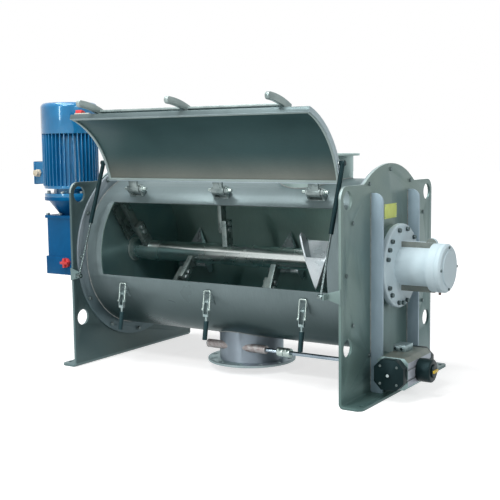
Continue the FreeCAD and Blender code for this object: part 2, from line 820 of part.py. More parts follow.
def hinge_lugs():
    """Two lugs on a curved base beside each hinge barrel."""
    lugs = []
    inner = hinge_barrel_length / 2 + side_clearance
    outer = inner + hinge_lug_thickness
    spread = arc_degrees(hinge_lug_radius, shell_outer_radius)
    for x in hinge_positions:
        parts = [drum_sector(x - outer, x + outer, shell_outer_radius,
                             shell_outer_radius + hinge_base_thickness,
                             hinge_angle - spread, hinge_angle + spread)]
        for x0 in (x - outer, x + inner):
            x1 = x0 + hinge_lug_thickness
            parts.append(rod_x(x0, x1, hinge_point.y, hinge_point.z, hinge_lug_radius))
            parts.append(drum_sector(x0, x1, shell_outer_radius, hinge_radius,
                                     hinge_angle - spread * 0.85, hinge_angle + spread * 0.85))
        lug = union(parts)
        lugs.append(lug.cut(rod_x(x - outer, x + outer, hinge_point.y, hinge_point.z, hinge_pin_radius)))
    return group(lugs)


def hinge_pins():
    pins = []
    lug_face = hinge_barrel_length / 2 + side_clearance + hinge_lug_thickness
    collar_end = lug_face + hinge_lug_thickness * 0.7
    end = lug_face + hinge_pin_reach
    for x in hinge_positions:
        pin = rod_x(x - end, x + end, hinge_point.y, hinge_point.z, hinge_pin_radius)
        left = rod_x(x - collar_end, x - lug_face, hinge_point.y, hinge_point.z, hinge_pin_radius * 1.6)
        right = rod_x(x + lug_face, x + collar_end, hinge_point.y, hinge_point.z, hinge_pin_radius * 1.6)
        pins.append(union([pin, left, right]))
    return group(pins)


def keeper_arms():
    """Curved arms that reach over the free edge, joined by a bar along the door."""
    outer = keeper_inner_radius + keeper_depth
    panel_top = door_skin_radius + door_skin
    root = arc_degrees(keeper_depth, keeper_inner_radius)
    parts = []
    for x in keeper_positions:
        x0 = x - keeper_width / 2
        x1 = x + keeper_width / 2
        parts.append(drum_sector(x0, x1, keeper_inner_radius, outer, keeper_tip_angle, keeper_root_angle))
        parts.append(drum_sector(x0, x1, panel_top, outer, keeper_root_angle - root, keeper_root_angle))
        tip = drum_point(0, keeper_inner_radius + keeper_depth / 2, keeper_tip_angle)
        parts.append(rod_x(x0, x1, tip.y, tip.z, keeper_depth / 2))
    bar_half = arc_degrees(keeper_bar_height / 2, keeper_bar_radius)
    parts.append(drum_sector(keeper_positions[0], keeper_positions[-1], keeper_bar_radius,
                             keeper_bar_radius + keeper_bar_depth,
                             keeper_bar_angle - bar_half, keeper_bar_angle + bar_half))
    return opened(union(parts))


def strut_studs():
    """Stud on each end of the door's rim that meets the socket of its gas strut."""
    studs = []
    p = drum_point(0, strut_door_radius, strut_door_angle)
    end = strut_x - strut_eye_width / 2 - strut_stud_gap
    base = FreeCAD.Vector(door_half_length, p.y, p.z)
    stud = union([rod_x(door_half_length, end, p.y, p.z, strut_rod_radius),
                  hexagon(base, X_AXIS, strut_rod_radius * 1.7, (end - door_half_length) / 2)])
    for solid in (stud, mirrored(stud)):
        studs.append(opened(solid))
    return group(studs)


def interlock_actuator():
    """Bracket on the rim at the door's free left corner with the block of the safety switch."""
    rim_top = door_rim_radius + door_rim_depth
    x0 = -door_half_length + door_rim_depth
    plate = drum_sector(x0, x0 + 4 * door_rim_depth, rim_top, rim_top + door_rim_thickness,
                        door_low_angle, door_low_angle + 5)
    block = drum_sector(x0, x0 + 1.6 * door_rim_depth, rim_top + door_rim_thickness,
                        rim_top + door_rim_thickness * 4, door_low_angle + 0.7, door_low_angle + 4.3)
    return group([opened(plate), opened(block)])


# Gas struts

strut_foot = FreeCAD.Vector(strut_x, strut_foot_y, strut_foot_z)


def strut_head():
    head = drum_point(strut_x, strut_door_radius, strut_door_angle)
    turn = FreeCAD.Rotation(X_AXIS, -door_open_angle)
    return turn.multVec(head - hinge_point) + hinge_point


def strut_brackets():
    """Tapered bracket on the front edge of each plate with the stud of the strut's foot."""
    brackets = []
    y1 = -plate_half_width
    y0 = y1 - strut_bracket_plate
    tab_x = strut_x + strut_eye_width / 2 + 2
    half = strut_eye_radius
    points = [
        FreeCAD.Vector(plate_outer_x, y0, strut_foot_z - 2.6 * half),
        FreeCAD.Vector(plate_outer_x, y0, strut_foot_z + 2.6 * half),
        FreeCAD.Vector(tab_x, y0, strut_foot_z + half),
        FreeCAD.Vector(tab_x, y0, strut_foot_z - half),
        FreeCAD.Vector(plate_outer_x, y0, strut_foot_z - 2.6 * half)]
    plate = Part.Face(Part.makePolygon(points)).extrude(FreeCAD.Vector(0, y1 - y0, 0))
    tab = box(tab_x, tab_x + strut_bracket_plate, strut_foot_y - half, y1, strut_foot_z - half,
              strut_foot_z + half)
    stud = rod_x(strut_x - strut_eye_width / 2, tab_x, strut_foot_y, strut_foot_z, strut_rod_radius)
    bracket = union([plate, tab, stud])
    brackets.append(bracket)
    brackets.append(mirrored(bracket))
    return group(brackets)


def strut_rod():
    """Right strut rod with its eye on the foot stud and a piston inside the tube."""
    along = (strut_head() - strut_foot).normalize()
    length = (strut_head() - strut_foot).Length
    tube_start = length - strut_eye_radius - strut_tube_length
    rod_end = tube_start + strut_rod_overlap
    bore_radius = strut_tube_radius - strut_tube_wall
    half = strut_eye_width / 2 - 1
    eye = rod_x(strut_x - half, strut_x + half, strut_foot.y, strut_foot.z, strut_eye_radius)
    rod = rod_between(strut_foot, strut_foot + along * rod_end, strut_rod_radius)
    piston = rod_between(strut_foot + along * (rod_end - strut_eye_radius), strut_foot + along * rod_end,
                         bore_radius - 0.1)
    hole = rod_x(strut_x - half, strut_x + half, strut_foot.y, strut_foot.z, strut_rod_radius + pin_clearance)
    return union([eye, rod, piston]).cut(hole)


def strut_cylinder():
    """Right strut tube with the socket that takes the stud on the door."""
    head = strut_head()
    along = (head - strut_foot).normalize()
    length = (head - strut_foot).Length
    start = length - strut_eye_radius - strut_tube_length
    gland = strut_tube_radius
    tube = rod_between(strut_foot + along * start, head, strut_tube_radius)
    cavity = rod_between(strut_foot + along * (start + gland), head - along * (2 * strut_eye_radius),
                         strut_tube_radius - strut_tube_wall)
    hole = rod_between(strut_foot + along * start, strut_foot + along * (start + 2 * gland),
                       strut_rod_radius + pin_clearance)
    half = strut_eye_width / 2
    socket = rod_x(strut_x - half, strut_x + half, head.y, head.z, strut_eye_radius)
    return union([tube.cut([cavity, hole]), socket])


# Latches

def link(x0, x1, start, end, radius):
    """Flat link with round ends between two points, drawn across X."""
    side = X_AXIS.cross(end - start).normalize() * radius
    move = FreeCAD.Vector(x0 - start.x, 0, 0)
    corners = [start + side + move, end + side + move, end - side + move, start - side + move]
    bar = Part.Face(Part.makePolygon(corners + [corners[0]])).extrude(X_AXIS * (x1 - x0))
    return union([bar, rod_x(x0, x1, start.y, start.z, radius), rod_x(x0, x1, end.y, end.z, radius)])


def latch_bases():
    """Foot plate on the drum with the block that holds the pivot pin of each latch."""
    bases = []
    pivot = drum_point(0, latch_pivot_radius, latch_pivot_angle)
    spread = arc_degrees(latch_foot_height / 2, shell_outer_radius)
    boss_spread = arc_degrees(latch_boss_radius, latch_pivot_radius)
    half = latch_base_half_width
    for x in latch_positions:
        foot = drum_sector(x - latch_foot_half_width, x + latch_foot_half_width, shell_outer_radius,
                           shell_outer_radius + latch_foot_thickness,
                           latch_pivot_angle - spread, latch_pivot_angle + spread)
        block = drum_sector(x - half, x + half, shell_outer_radius, latch_pivot_radius,
                            latch_pivot_angle - boss_spread, latch_pivot_angle + boss_spread)
        boss = rod_x(x - half, x + half, pivot.y, pivot.z, latch_boss_radius)
        pin_end = latch_cheek_x + latch_cheek_thickness
        pin = rod_x(x - pin_end, x + pin_end, pivot.y, pivot.z, latch_pin_radius)
        bases.append(union([foot, block, boss, pin]))
    return group(bases)


def latch_lever(x):
    """Forked lever: two cheeks with a stub pin each, a bridge below them, a neck and a grip."""
    pivot = drum_point(0, latch_pivot_radius, latch_pivot_angle)
    cross = drum_point(0, latch_cross_radius, latch_cross_angle)
    bridge = cross - FreeCAD.Vector(0, 0, latch_bridge_drop)
    parts = []
    for side in (-1, 1):
        x0 = min(side * latch_cheek_x, side * (latch_cheek_x + latch_cheek_thickness))
        x1 = x0 + latch_cheek_thickness
        hole = rod_x(x0, x1, pivot.y, pivot.z, latch_pin_radius + pin_clearance)
        parts.append(link(x0, x1, pivot, cross, latch_boss_radius).cut(hole))
        parts.append(link(x0, x1, cross, bridge, latch_boss_radius))
        pin_end = side * (latch_bow_x + 2 * latch_bow_wire_radius)
        parts.append(rod_x(min(x0, pin_end), max(x1, pin_end), cross.y, cross.z, latch_pin_radius))
    outer = latch_cheek_x + latch_cheek_thickness
    parts.append(box(-outer, outer, bridge.y - latch_boss_radius, bridge.y + latch_boss_radius,
                     bridge.z - latch_boss_radius, bridge.z + latch_boss_radius / 2))
    lean = math.radians(latch_grip_lean)
    along = FreeCAD.Vector(0, -math.sin(lean), -math.cos(lean))
    neck_end = cross - FreeCAD.Vector(0, 0, latch_neck_end)
    parts.append(rod_between(bridge, neck_end + along * latch_neck_radius, latch_neck_radius))
    parts.append(rod_between(neck_end, neck_end + along * latch_grip_length, latch_grip_radius))
    lever = union(parts)
    lever.translate(X_AXIS * x)
    return lever


def latch_bow(x):
    """Bent wire from one stub pin up to the drum and back, with an eye at each end."""
    cross = drum_point(0, latch_cross_radius, latch_cross_angle)
    top = drum_point(0, latch_bow_radius, latch_bow_angle)
    wire = latch_bow_wire_radius
    across = X_AXIS * latch_bow_x
    centre = FreeCAD.Vector(x, 0, 0)
    parts = [bent_rod([centre + cross - across, centre + top - across, centre + top + across,
                       centre + cross + across], 2.5 * wire, wire)]
    for side in (-latch_bow_x, latch_bow_x):
        parts.append(rod_x(x + side - latch_eye_half_width, x + side + latch_eye_half_width, cross.y, cross.z,
                           latch_pin_radius + wire))
    reach = latch_bow_x + 2 * wire
    return union(parts).cut(rod_x(x - reach, x + reach, cross.y, cross.z, latch_pin_radius + pin_clearance))


# Mixing tools

def plough_frame():
    """Corner points of a plough whose arm points to the front."""
    outer = drum_bore_radius - wall_clearance
    tip = drum_point(0, outer, plough_tip_angle)
    low = drum_point(plough_half_width, outer, plough_back_angle)
    high = drum_point(plough_half_width, outer - plough_height, plough_back_angle)
    return tip, low, high


def plough_cone(tip, low, high):
    """Three-sided point with a ramp and two side walls, drawn twice as long as the plough."""
    points = []
    for corner in (low, high):
        arm = (corner - tip) * 2
        points.append((tip + arm, tip + FreeCAD.Vector(-arm.x, arm.y, arm.z)))
    (right_low, left_low), (right_high, left_high) = points
    outlines = [
        [tip, right_low, right_high], [tip, right_high, left_high], [tip, left_high, left_low],
        [tip, left_low, right_low], [right_low, left_low, left_high, right_high]]
    faces = [Part.Face(Part.makePolygon(outline + [outline[0]])) for outline in outlines]
    return Part.Solid(Part.Shell(faces))


def plough_wedge():
    """Outer form of the plough, past the drum wall so that it also trims the holder's end."""
    tip, low, high = plough_frame()
    beyond = (low - high) * 0.5
    return plough_cone(tip, low + beyond, high)


def plough():
    """Hollow plough: a ramp between two side walls, open behind and towards the drum wall."""
    tip, low, high = plough_frame()
    middle = FreeCAD.Vector(0, low.y, low.z)
    along = (middle - tip).normalize()
    wall_normal = (low - tip).cross(high - tip).normalize()
    shift = along * (plough_wall / abs(wall_normal.dot(along)))
    hollow = plough_wedge()
    hollow.translate(shift)
    outer = drum_bore_radius - wall_clearance
    half = plough_half_width + 1
    limits = drum_sector(-half, half, outer - 2 * plough_height, outer, plough_tip_angle - 5, plough_back_angle)
    ear = [drum_point(-half, outer - plough_height, plough_back_angle),
           drum_point(-half, outer - plough_ear_inset, plough_back_angle + plough_ear_angle),
           drum_point(-half, outer - 0.5, plough_back_angle)]
    ears = Part.Face(Part.makePolygon(ear + [ear[0]])).extrude(X_AXIS * (2 * half))
    return plough_wedge().cut(hollow).common(union([limits, ears]))


def radial_bar(x0, x1, half_height, inner, outer):
    return box(x0, x1, -outer, -inner, axis_height - half_height, axis_height + half_height)


def arm_bolt_holes():
    holes = []
    for r in arm_bolt_radii:
        holes.append(rod_x(-holder_thickness, stub_thickness, -r, axis_height, arm_bolt_radius))
    return holes


def arm_places():
    places = list(zip(plough_positions, plough_angles))
    return places + list(zip(scraper_positions, scraper_angles))


def mixing_shaft():
    """Stepped shaft with the arm stubs welded on."""
    core = rod_x(-shaft_step_x, shaft_step_x, 0, axis_height, shaft_radius)
    parts = [core,
             rod_x(shaft_step_x, shaft_right_end, 0, axis_height, journal_radius),
             rod_x(drive_step_x, -shaft_step_x, 0, axis_height, journal_radius),
             rod_x(shaft_left_end, drive_step_x, 0, axis_height, drive_journal_radius)]
    stub = radial_bar(0, stub_thickness, stub_half_height, shaft_radius / 2, stub_end_radius)
    stub = stub.cut(arm_bolt_holes())
    for x, angle in arm_places():
        parts.append(turned(stub, angle, x))
    return union(parts)


def plough_holders():
    """Bars bolted beside the stubs; each carries a plough at its end."""
    bar = radial_bar(-holder_thickness, 0, holder_half_height, holder_start_radius, drum_bore_radius)
    bar = bar.cut(arm_bolt_holes()).cut(plough_wedge())
    limit = radial_bar(-holder_thickness, 0, holder_half_height, holder_start_radius,
                       drum_bore_radius - wall_clearance - plough_height / 4)
    bar = largest(bar.common(limit))
    bars = []
    for x, angle in zip(plough_positions, plough_angles):
        bars.append(turned(bar, angle, x))
    return group(bars)


def largest(shape):
    return max(shape.Solids, key=lambda s: s.Volume)


def ploughs():
    blade = largest(plough())
    return group([turned(blade, angle, x) for x, angle in zip(plough_positions, plough_angles)])


def end_scraper():
    """Left end scraper: a bar on its stub, a blade along the end wall and a blade along the drum."""
    outer = drum_bore_radius - wall_clearance
    wall_x = -plate_inner_x + wall_clearance - scraper_positions[0]
    bar = radial_bar(-holder_thickness, 0, holder_half_height, holder_start_radius, outer - scraper_bar_depth)
    bar = bar.cut(arm_bolt_holes())
    top = radial_bar(wall_x, scraper_reach, scraper_half_height, outer - scraper_bar_depth,
                     outer + scraper_bar_depth)
    blade = radial_bar(wall_x, wall_x + scraper_thickness, scraper_half_height, scraper_inner_radius, outer)
    scraper = union([bar, top, blade])
    return scraper.common(rod_x(wall_x, scraper_reach, 0, axis_height, outer))


def end_scrapers():
    """The right scraper is the mirror image of the left one, on the other side of its stub."""
    left = end_scraper()
    right = mirrored(left)
    right.translate(FreeCAD.Vector(stub_thickness, 0, 0))
    return group([turned(left, scraper_angles[0], scraper_positions[0]),
                  turned(right, scraper_angles[1], scraper_positions[1])])


def arm_bolts():
    bolts = []
    half_flats = 1.5 * arm_bolt_radius
    head = 1.2 * arm_bolt_radius
    for x, angle in arm_places():
        low = -holder_thickness
        high = stub_thickness
        if x == scraper_positions[1]:
            low = 0.0
            high = stub_thickness + holder_thickness
        for r in arm_bolt_radii:
            shank = rod_x(low, high, -r, axis_height, arm_bolt_radius)
            nut = hexagon(FreeCAD.Vector(low, -r, axis_height), -X_AXIS, half_flats, head)
            cap = hexagon(FreeCAD.Vector(high, -r, axis_height), X_AXIS, half_flats, head)
            bolts.append(turned(union([shank, nut, cap]), angle, x))
    return group(bolts)


# Shaft seals and bearings

def seal_housings():
    housing = tube_x(plate_outer_x, plate_outer_x + seal_housing_length, seal_housing_radius, seal_bore_radius)
    return group([housing, mirrored(housing)])


def shaft_seals():
    """Packing in each plate with a lip ring against the inside of the plate."""
    bore = shaft_radius + pin_clearance
    packing = tube_x(plate_inner_x, plate_outer_x + seal_housing_length, seal_bore_radius, bore)
    lip = tube_x(plate_inner_x - seal_lip_thickness, plate_inner_x, seal_lip_radius, bore)
    seal = union([packing, lip])
    return group([seal, mirrored(seal)])


def housing_x():
    return plate_outer_x + seal_housing_length


def end_circle(shape, x):
    """Round edge of a turned piece at one of its ends."""
    return [e for e in shape.Edges if e.Curve.TypeId == "Part::GeomCircle" and abs(e.Curve.Center.x - x) < 0.1]


def bolted_flange():
    """Flange of the right bearing housing with a rounded rim and its bolt holes."""
    x0 = housing_x()
    x1 = x0 + housing_flange_thickness
    flange = rod_x(x0, x1, 0, axis_height, housing_flange_radius)
    flange = flange.makeFillet(housing_edge_radius, end_circle(flange, x1))
    holes = []
    for p in flange_bolt_points(x0):
        holes.append(rod_x(x0, x1, p.y, p.z, socket_head_radius / 2))
    return flange.cut(holes)


def flange_bolt_points(x):
    points = []
    for step in flange_bolt_steps:
        points.append(drum_point(x, flange_bolt_circle, step * flange_bolt_pitch))
    return points


def right_bearing_housing():
    """Cast housing: flange, tube with a web above and below, and the bearing head."""
    tube_start = housing_x() + housing_flange_thickness
    head_start = tube_start + housing_tube_length
    head_end = head_start + housing_head_length
    tube = rod_x(tube_start, head_start, 0, axis_height, housing_tube_radius)
    head = rod_x(head_start, head_end, 0, axis_height, housing_head_radius)
    half = housing_web_thickness / 2
    web = box(tube_start, head_start + 6, -half, half, axis_height - housing_web_radius,
              axis_height + housing_web_radius)
    lug_z = axis_height + housing_head_radius - housing_lug_radius + housing_lug_height
    lug = rod_y(-housing_lug_thickness / 2, housing_lug_thickness / 2, head_start - housing_lug_offset,
                lug_z, housing_lug_radius)
    drain = rod_z(axis_height - housing_head_radius - housing_drain_length, axis_height - housing_tube_radius,
                  head_end - 2 * housing_drain_radius, 0, housing_drain_radius)
    body = union([bolted_flange(), tube, head, web, lug, drain])
    return body.cut(rod_x(housing_x(), head_end, 0, axis_height, housing_bore_radius))


def cap_x():
    return housing_x() + housing_flange_thickness + housing_tube_length + housing_head_length


def right_bearing_cap():
    """Cap with a chamfered edge, a raised boss and a hollow for the shaft end."""
    x0 = cap_x()
    x1 = x0 + cap_length
    ring_end = x1 - cap_boss_height
    cap = rod_x(x0, ring_end, 0, axis_height, housing_head_radius)
    cap = cap.makeChamfer(cap_chamfer, end_circle(cap, ring_end))
    boss = rod_x(x0, x1, 0, axis_height, cap_boss_radius)
    boss = boss.makeFillet(cap_boss_edge, end_circle(boss, x1))
    hollow = rod_x(x0, x0 + cap_length / 2, 0, axis_height, housing_bore_radius)
    return union([cap, boss]).cut(hollow)


def left_bearing_housing():
    """Housing between the left plate and the gear unit, flanged at both ends."""
    tube_start = housing_x() + housing_flange_thickness
    tube_end = tube_start + left_housing_length
    end = tube_end + left_end_flange_thickness
    tube = rod_x(tube_start, tube_end, 0, axis_height, housing_tube_radius)
    flange = rod_x(tube_end, end, 0, axis_height, left_end_flange_radius)
    body = union([bolted_flange(), tube, flange])
    return mirrored(body.cut(rod_x(housing_x(), end, 0, axis_height, housing_bore_radius)))


def shaft_bearings():
    bore = journal_radius + pin_clearance
    right = tube_x(cap_x() - bearing_width, cap_x(), housing_bore_radius, bore)
    left_end = -(housing_x() + housing_flange_thickness + left_housing_length)
    left = tube_x(left_end, left_end + bearing_width, housing_bore_radius, bore)
    return group([right, left])


def socket_bolt(point, direction, shank_length):
    shank = rod_between(point - direction * shank_length, point, socket_head_radius / 2)
    head = rod_between(point, point + direction * socket_head_height, socket_head_radius)
    return union([shank, head])


def flange_bolts():
    """Socket bolts of both housing flanges."""
    bolts = []
    for p in flange_bolt_points(housing_x() + housing_flange_thickness):
        bolt = socket_bolt(p, X_AXIS, housing_flange_thickness)
        bolts.append(bolt)
        bolts.append(mirrored(bolt))
    return bolts


# Gear unit and motor

def gear_right_x():
    return motor_x + gear_half_width


def gear_housing():
    """Gear case with a foot cover, a top plate, a side boss and the neck to the bearing housing."""
    w = gear_half_width
    d = gear_half_depth
    m = gear_cover_margin
    case = box(motor_x - w, motor_x + w, -d, d, gear_bottom_z, gear_top_z)
    case = rounded(case, gear_edge_radius, Z_AXIS, lambda p: True)
    foot = box(motor_x - w - m, motor_x + w, -d - m, d + m, gear_bottom_z, gear_bottom_z + gear_foot_height)
    foot = rounded(foot, gear_edge_radius, Z_AXIS, lambda p: True)
    top = box(motor_x - w - m, motor_x + w + m, -d - m, d + m, gear_top_z - gear_cap_height, gear_top_z)
    top = rounded(top, gear_edge_radius, Z_AXIS, lambda p: True)
    boss = rod_x(motor_x - w - gear_side_boss_length, motor_x - w + gear_edge_radius, 0, gear_side_boss_z,
                 gear_side_boss_radius)
    neck_end = -(housing_x() + housing_flange_thickness + left_housing_length + left_end_flange_thickness)
    flange = rod_x(neck_end - left_end_flange_thickness, neck_end, 0, axis_height, left_end_flange_radius)
    neck = rod_x(motor_x, neck_end, 0, axis_height, gear_neck_radius)
    body = union([case, foot, top, boss, neck, flange])
    bore = rod_x(motor_x - w - m, neck_end, 0, axis_height, drive_journal_radius + pin_clearance)
    return body.cut(bore)


def gear_bolts():
    """Bolts round the top plate of the gear case and round the motor flange."""
    bolts = []
    reach = gear_half_depth - gear_edge_radius / 2
    for x in (-reach, 0, reach):
        for y in (-reach, reach):
            centre = FreeCAD.Vector(motor_x + x, y, gear_top_z)
            bolts.append(hexagon(centre, Z_AXIS, socket_head_radius, socket_head_height))
    circle = adapter_flange_radius - 1.4 * socket_head_radius
    top = adapter_cone_top_z + 2 * adapter_flange_thickness
    for k in range(8):
        a = math.radians(45 * (k + 0.5))
        centre = FreeCAD.Vector(motor_x + circle * math.cos(a), circle * math.sin(a), top)
        bolts.append(hexagon(centre, Z_AXIS, socket_head_radius, socket_head_height))
    return bolts


def motor_adapter():
    cone = Part.makeCone(adapter_small_radius, adapter_large_radius, adapter_cone_top_z - gear_top_z,
                         FreeCAD.Vector(motor_x, 0, gear_top_z), Z_AXIS)
    flange = rod_z(adapter_cone_top_z, adapter_cone_top_z + adapter_flange_thickness, motor_x, 0,
                   adapter_flange_radius)
    bore = rod_z(gear_top_z, adapter_cone_top_z + adapter_flange_thickness, motor_x, 0, adapter_bore_radius)
    return union([cone, flange]).cut(bore)


def motor_levels():
    """Heights of the motor flange, the lower shield, the fins and the cowl."""
    flange = adapter_cone_top_z + adapter_flange_thickness
    return flange, flange + adapter_flange_thickness, motor_fin_z, motor_fin_z + motor_fin_length


def motor_housing():
    """Finned motor case with its lower flange, the neck above it and a pad for the terminal box."""
    flange_z, neck_z, fin_z, top_z = motor_levels()
    parts = [rod_z(flange_z, neck_z, motor_x, 0, adapter_flange_radius),
             rod_z(neck_z, fin_z, motor_x, 0, motor_neck_radius),
             rod_z(fin_z - motor_shield_thickness, fin_z, motor_x, 0, motor_fin_radius - motor_fin_thickness),
             rod_z(fin_z, top_z, motor_x, 0, motor_core_radius)]
    for k in range(motor_fin_count):
        fin = box(motor_core_radius - 5, motor_fin_radius, -motor_fin_thickness / 2, motor_fin_thickness / 2,
                  fin_z, top_z)
        fin.rotate(FreeCAD.Vector(0, 0, 0), Z_AXIS, 360 * (k + 0.5) / motor_fin_count)
        fin.translate(FreeCAD.Vector(motor_x, 0, 0))
        parts.append(fin)
    pad_x = motor_x - motor_fin_radius - terminal_pad
    parts.append(box(pad_x, motor_x - motor_core_radius * 0.8, -terminal_half_width, terminal_half_width,
                     terminal_bottom_z + 5, terminal_bottom_z + terminal_height - 5))
    body = union(parts)
    cavity = rod_z(fin_z + motor_shield_thickness, top_z - motor_shield_thickness, motor_x, 0, motor_cavity_radius)
    bore = rod_z(flange_z, top_z, motor_x, 0, rotor_shaft_radius + pin_clearance)
    return body.cut([cavity, bore])


def fan_cowl():
    """Sheet cowl over the fan, closed on top by a slotted disc."""
    z0 = motor_levels()[3]
    z1 = z0 + cowl_height
    outer = rod_z(z0, z1, motor_x, 0, cowl_radius)
    rim = [e for e in outer.Edges if e.Curve.TypeId == "Part::GeomCircle" and e.Curve.Center.z > z1 - 0.1]
    outer = outer.makeFillet(cowl_edge_radius, rim)
    inner = rod_z(z0 - cowl_wall, z1 - cowl_wall, motor_x, 0, cowl_radius - cowl_wall)
    rim = [e for e in inner.Edges if e.Curve.TypeId == "Part::GeomCircle" and e.Curve.Center.z > z1 - cowl_wall - 0.1]
    inner = inner.makeFillet(cowl_edge_radius - cowl_wall, rim)
    slots = []
    for k in range(cowl_slot_count):
        slot = box(cowl_radius * 0.3, cowl_radius * 0.7, -cowl_slot_width / 2, cowl_slot_width / 2,
                   z1 - 2 * cowl_wall, z1 + cowl_wall)
        slot.rotate(FreeCAD.Vector(0, 0, 0), Z_AXIS, 360 * k / cowl_slot_count)
        slot.translate(FreeCAD.Vector(motor_x, 0, 0))
        slots.append(slot)
    return outer.cut([inner] + slots)


def motor_rotor():
    """Rotor of the motor with the fan on its upper end."""
    flange_z, neck_z, fin_z, top_z = motor_levels()
    fan_z = top_z + cowl_height / 4
    shaft = rod_z(gear_top_z + adapter_bore_radius, fan_z + fan_height, motor_x, 0, rotor_shaft_radius)
    core = rod_z(fin_z + 2 * motor_shield_thickness, top_z - 2 * motor_shield_thickness, motor_x, 0,
                 rotor_core_radius)
    hub = rod_z(fan_z, fan_z + fan_height, motor_x, 0, 2 * rotor_shaft_radius)
    disc = rod_z(fan_z, fan_z + fan_blade_thickness, motor_x, 0, fan_radius)
    parts = [shaft, core, hub, disc]
    for k in range(fan_blade_count):
        blade = box(rotor_shaft_radius, fan_radius, -fan_blade_thickness / 2, fan_blade_thickness / 2,
                    fan_z, fan_z + fan_height)
        blade.rotate(FreeCAD.Vector(0, 0, 0), Z_AXIS, 360 * k / fan_blade_count)
        blade.translate(FreeCAD.Vector(motor_x, 0, 0))
        parts.append(blade)
    return union(parts)


def terminal_box():
    """Box with a lid, on the side of the motor away from the drum."""
    x1 = motor_x - motor_fin_radius - terminal_pad
    x0 = x1 - terminal_depth
    z1 = terminal_bottom_z + terminal_height
    inset = terminal_lid / 3
    body = box(x0 + terminal_lid, x1, -terminal_half_width + inset, terminal_half_width - inset,
               terminal_bottom_z + inset, z1 - inset)
    lid = box(x0, x0 + terminal_lid, -terminal_half_width, terminal_half_width, terminal_bottom_z, z1)
    lid = rounded(lid, terminal_lid / 2, X_AXIS, lambda p: True)
    return union([body, lid])


def cable_gland():
    """Closed gland cap on the front side of the terminal box."""
    x = motor_x - motor_fin_radius - terminal_pad - terminal_depth / 2
    z = terminal_bottom_z + terminal_height / 2
    seat = -terminal_half_width + terminal_lid / 3
    base = hexagon(FreeCAD.Vector(x, seat, z), -Y_AXIS, gland_radius, gland_length / 3)
    cap = rod_y(seat - gland_length, seat, x, z, gland_radius * 0.9)
    return union([base, cap])


def transport_plug():
    """Red plug on the front of the gear case, with a cross-shaped grip."""
    seat = -gear_half_depth - gear_cover_margin
    base = rod_y(seat - plug_length / 2, seat, plug_x, plug_z, plug_radius)
    half = plug_radius / 4
    bar = box(plug_x - plug_radius, plug_x + plug_radius, seat - plug_length, seat, plug_z - half, plug_z + half)
    cross = box(plug_x - half, plug_x + half, seat - plug_length, seat, plug_z - plug_radius, plug_z + plug_radius)
    return union([base, bar, cross])


def rating_plate():
    return box(plate_outer_x, plate_outer_x + label_thickness, -label_half_width, label_half_width,
               label_bottom_z, label_bottom_z + label_height)


nodes = {
    "left_end_plate": mirrored(end_plate()),
    "right_end_plate": right_end_plate(),
    "plate_ribs": plate_ribs(),
    "drum_shell": drum_shell(),
    "left_drum_ring": mirrored(drum_ring()),
    "right_drum_ring": right_drum_ring(),
    "ring_bolts": ring_bolts(),
    "inlet_nozzle": inlet_nozzle(),
    "outlet_pipe": outlet_pipe(),
    "hinge_lugs": hinge_lugs(),
    "hinge_pins": hinge_pins(),
    "strut_brackets": strut_brackets(),
    "latch_bases": latch_bases(),
    "seal_housings": seal_housings(),
    "shaft_seals": shaft_seals(),
    "shaft_bearings": shaft_bearings(),
    "right_bearing_housing": right_bearing_housing(),
    "right_bearing_cap": right_bearing_cap(),
    "left_bearing_housing": left_bearing_housing(),
    "drive_bolts": group(flange_bolts() + gear_bolts()),
    "gear_housing": gear_housing(),
    "motor_adapter": motor_adapter(),
    "motor_housing": motor_housing(),
    "fan_cowl": fan_cowl(),
    "motor_rotor": motor_rotor(),
    "terminal_box": terminal_box(),
    "cable_gland": cable_gland(),
    "transport_plug": transport_plug(),
    "actuator_body": actuator_body(),
    "actuator_end_caps": actuator_end_caps(),
    "actuator_console": actuator_console(),
    "switch_box": switch_box(),
    "air_block": air_block(),
    "rating_plate": rating_plate(),
    "discharge_flap": discharge_flap(),
    "flap_shaft": flap_shaft(),
    "flap_coupling": flap_coupling(),
    "position_indicator": position_indicator(),
    "door_panel": door_panel(),
    "door_rim": door_rim(),
    "door_seal": door_seal(),
    "door_knuckles": door_knuckles(),
    "keeper_arms": keeper_arms(),
    "strut_studs": strut_studs(),
    "interlock_actuator": interlock_actuator(),
    "right_strut_rod": strut_rod(),
    "left_strut_rod": mirrored(strut_rod()),
    "right_strut_cylinder": strut_cylinder(),
    "left_strut_cylinder": mirrored(strut_cylinder()),
    "mixing_shaft": mixing_shaft(),
    "plough_holders": plough_holders(),
    "ploughs": ploughs(),
    "end_scrapers": end_scrapers(),
    "arm_bolts": arm_bolts(),
}
for number, x in enumerate(latch_positions, start=1):
    nodes["latch_lever_%d" % number] = latch_lever(x)
    nodes["latch_bow_%d" % number] = latch_bow(x)

os.makedirs("parts", exist_ok=True)
for name, shape in nodes.items():
    shape.exportStep("parts/%s.step" % name)
    print(name, len(shape.Solids), shape.isValid(), round(shape.Volume / 1000))
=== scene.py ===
"""Ploughshare mixer: the looks of the machine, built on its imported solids."""
import math
import bmesh
import bpy
from mathutils import Matrix, Vector


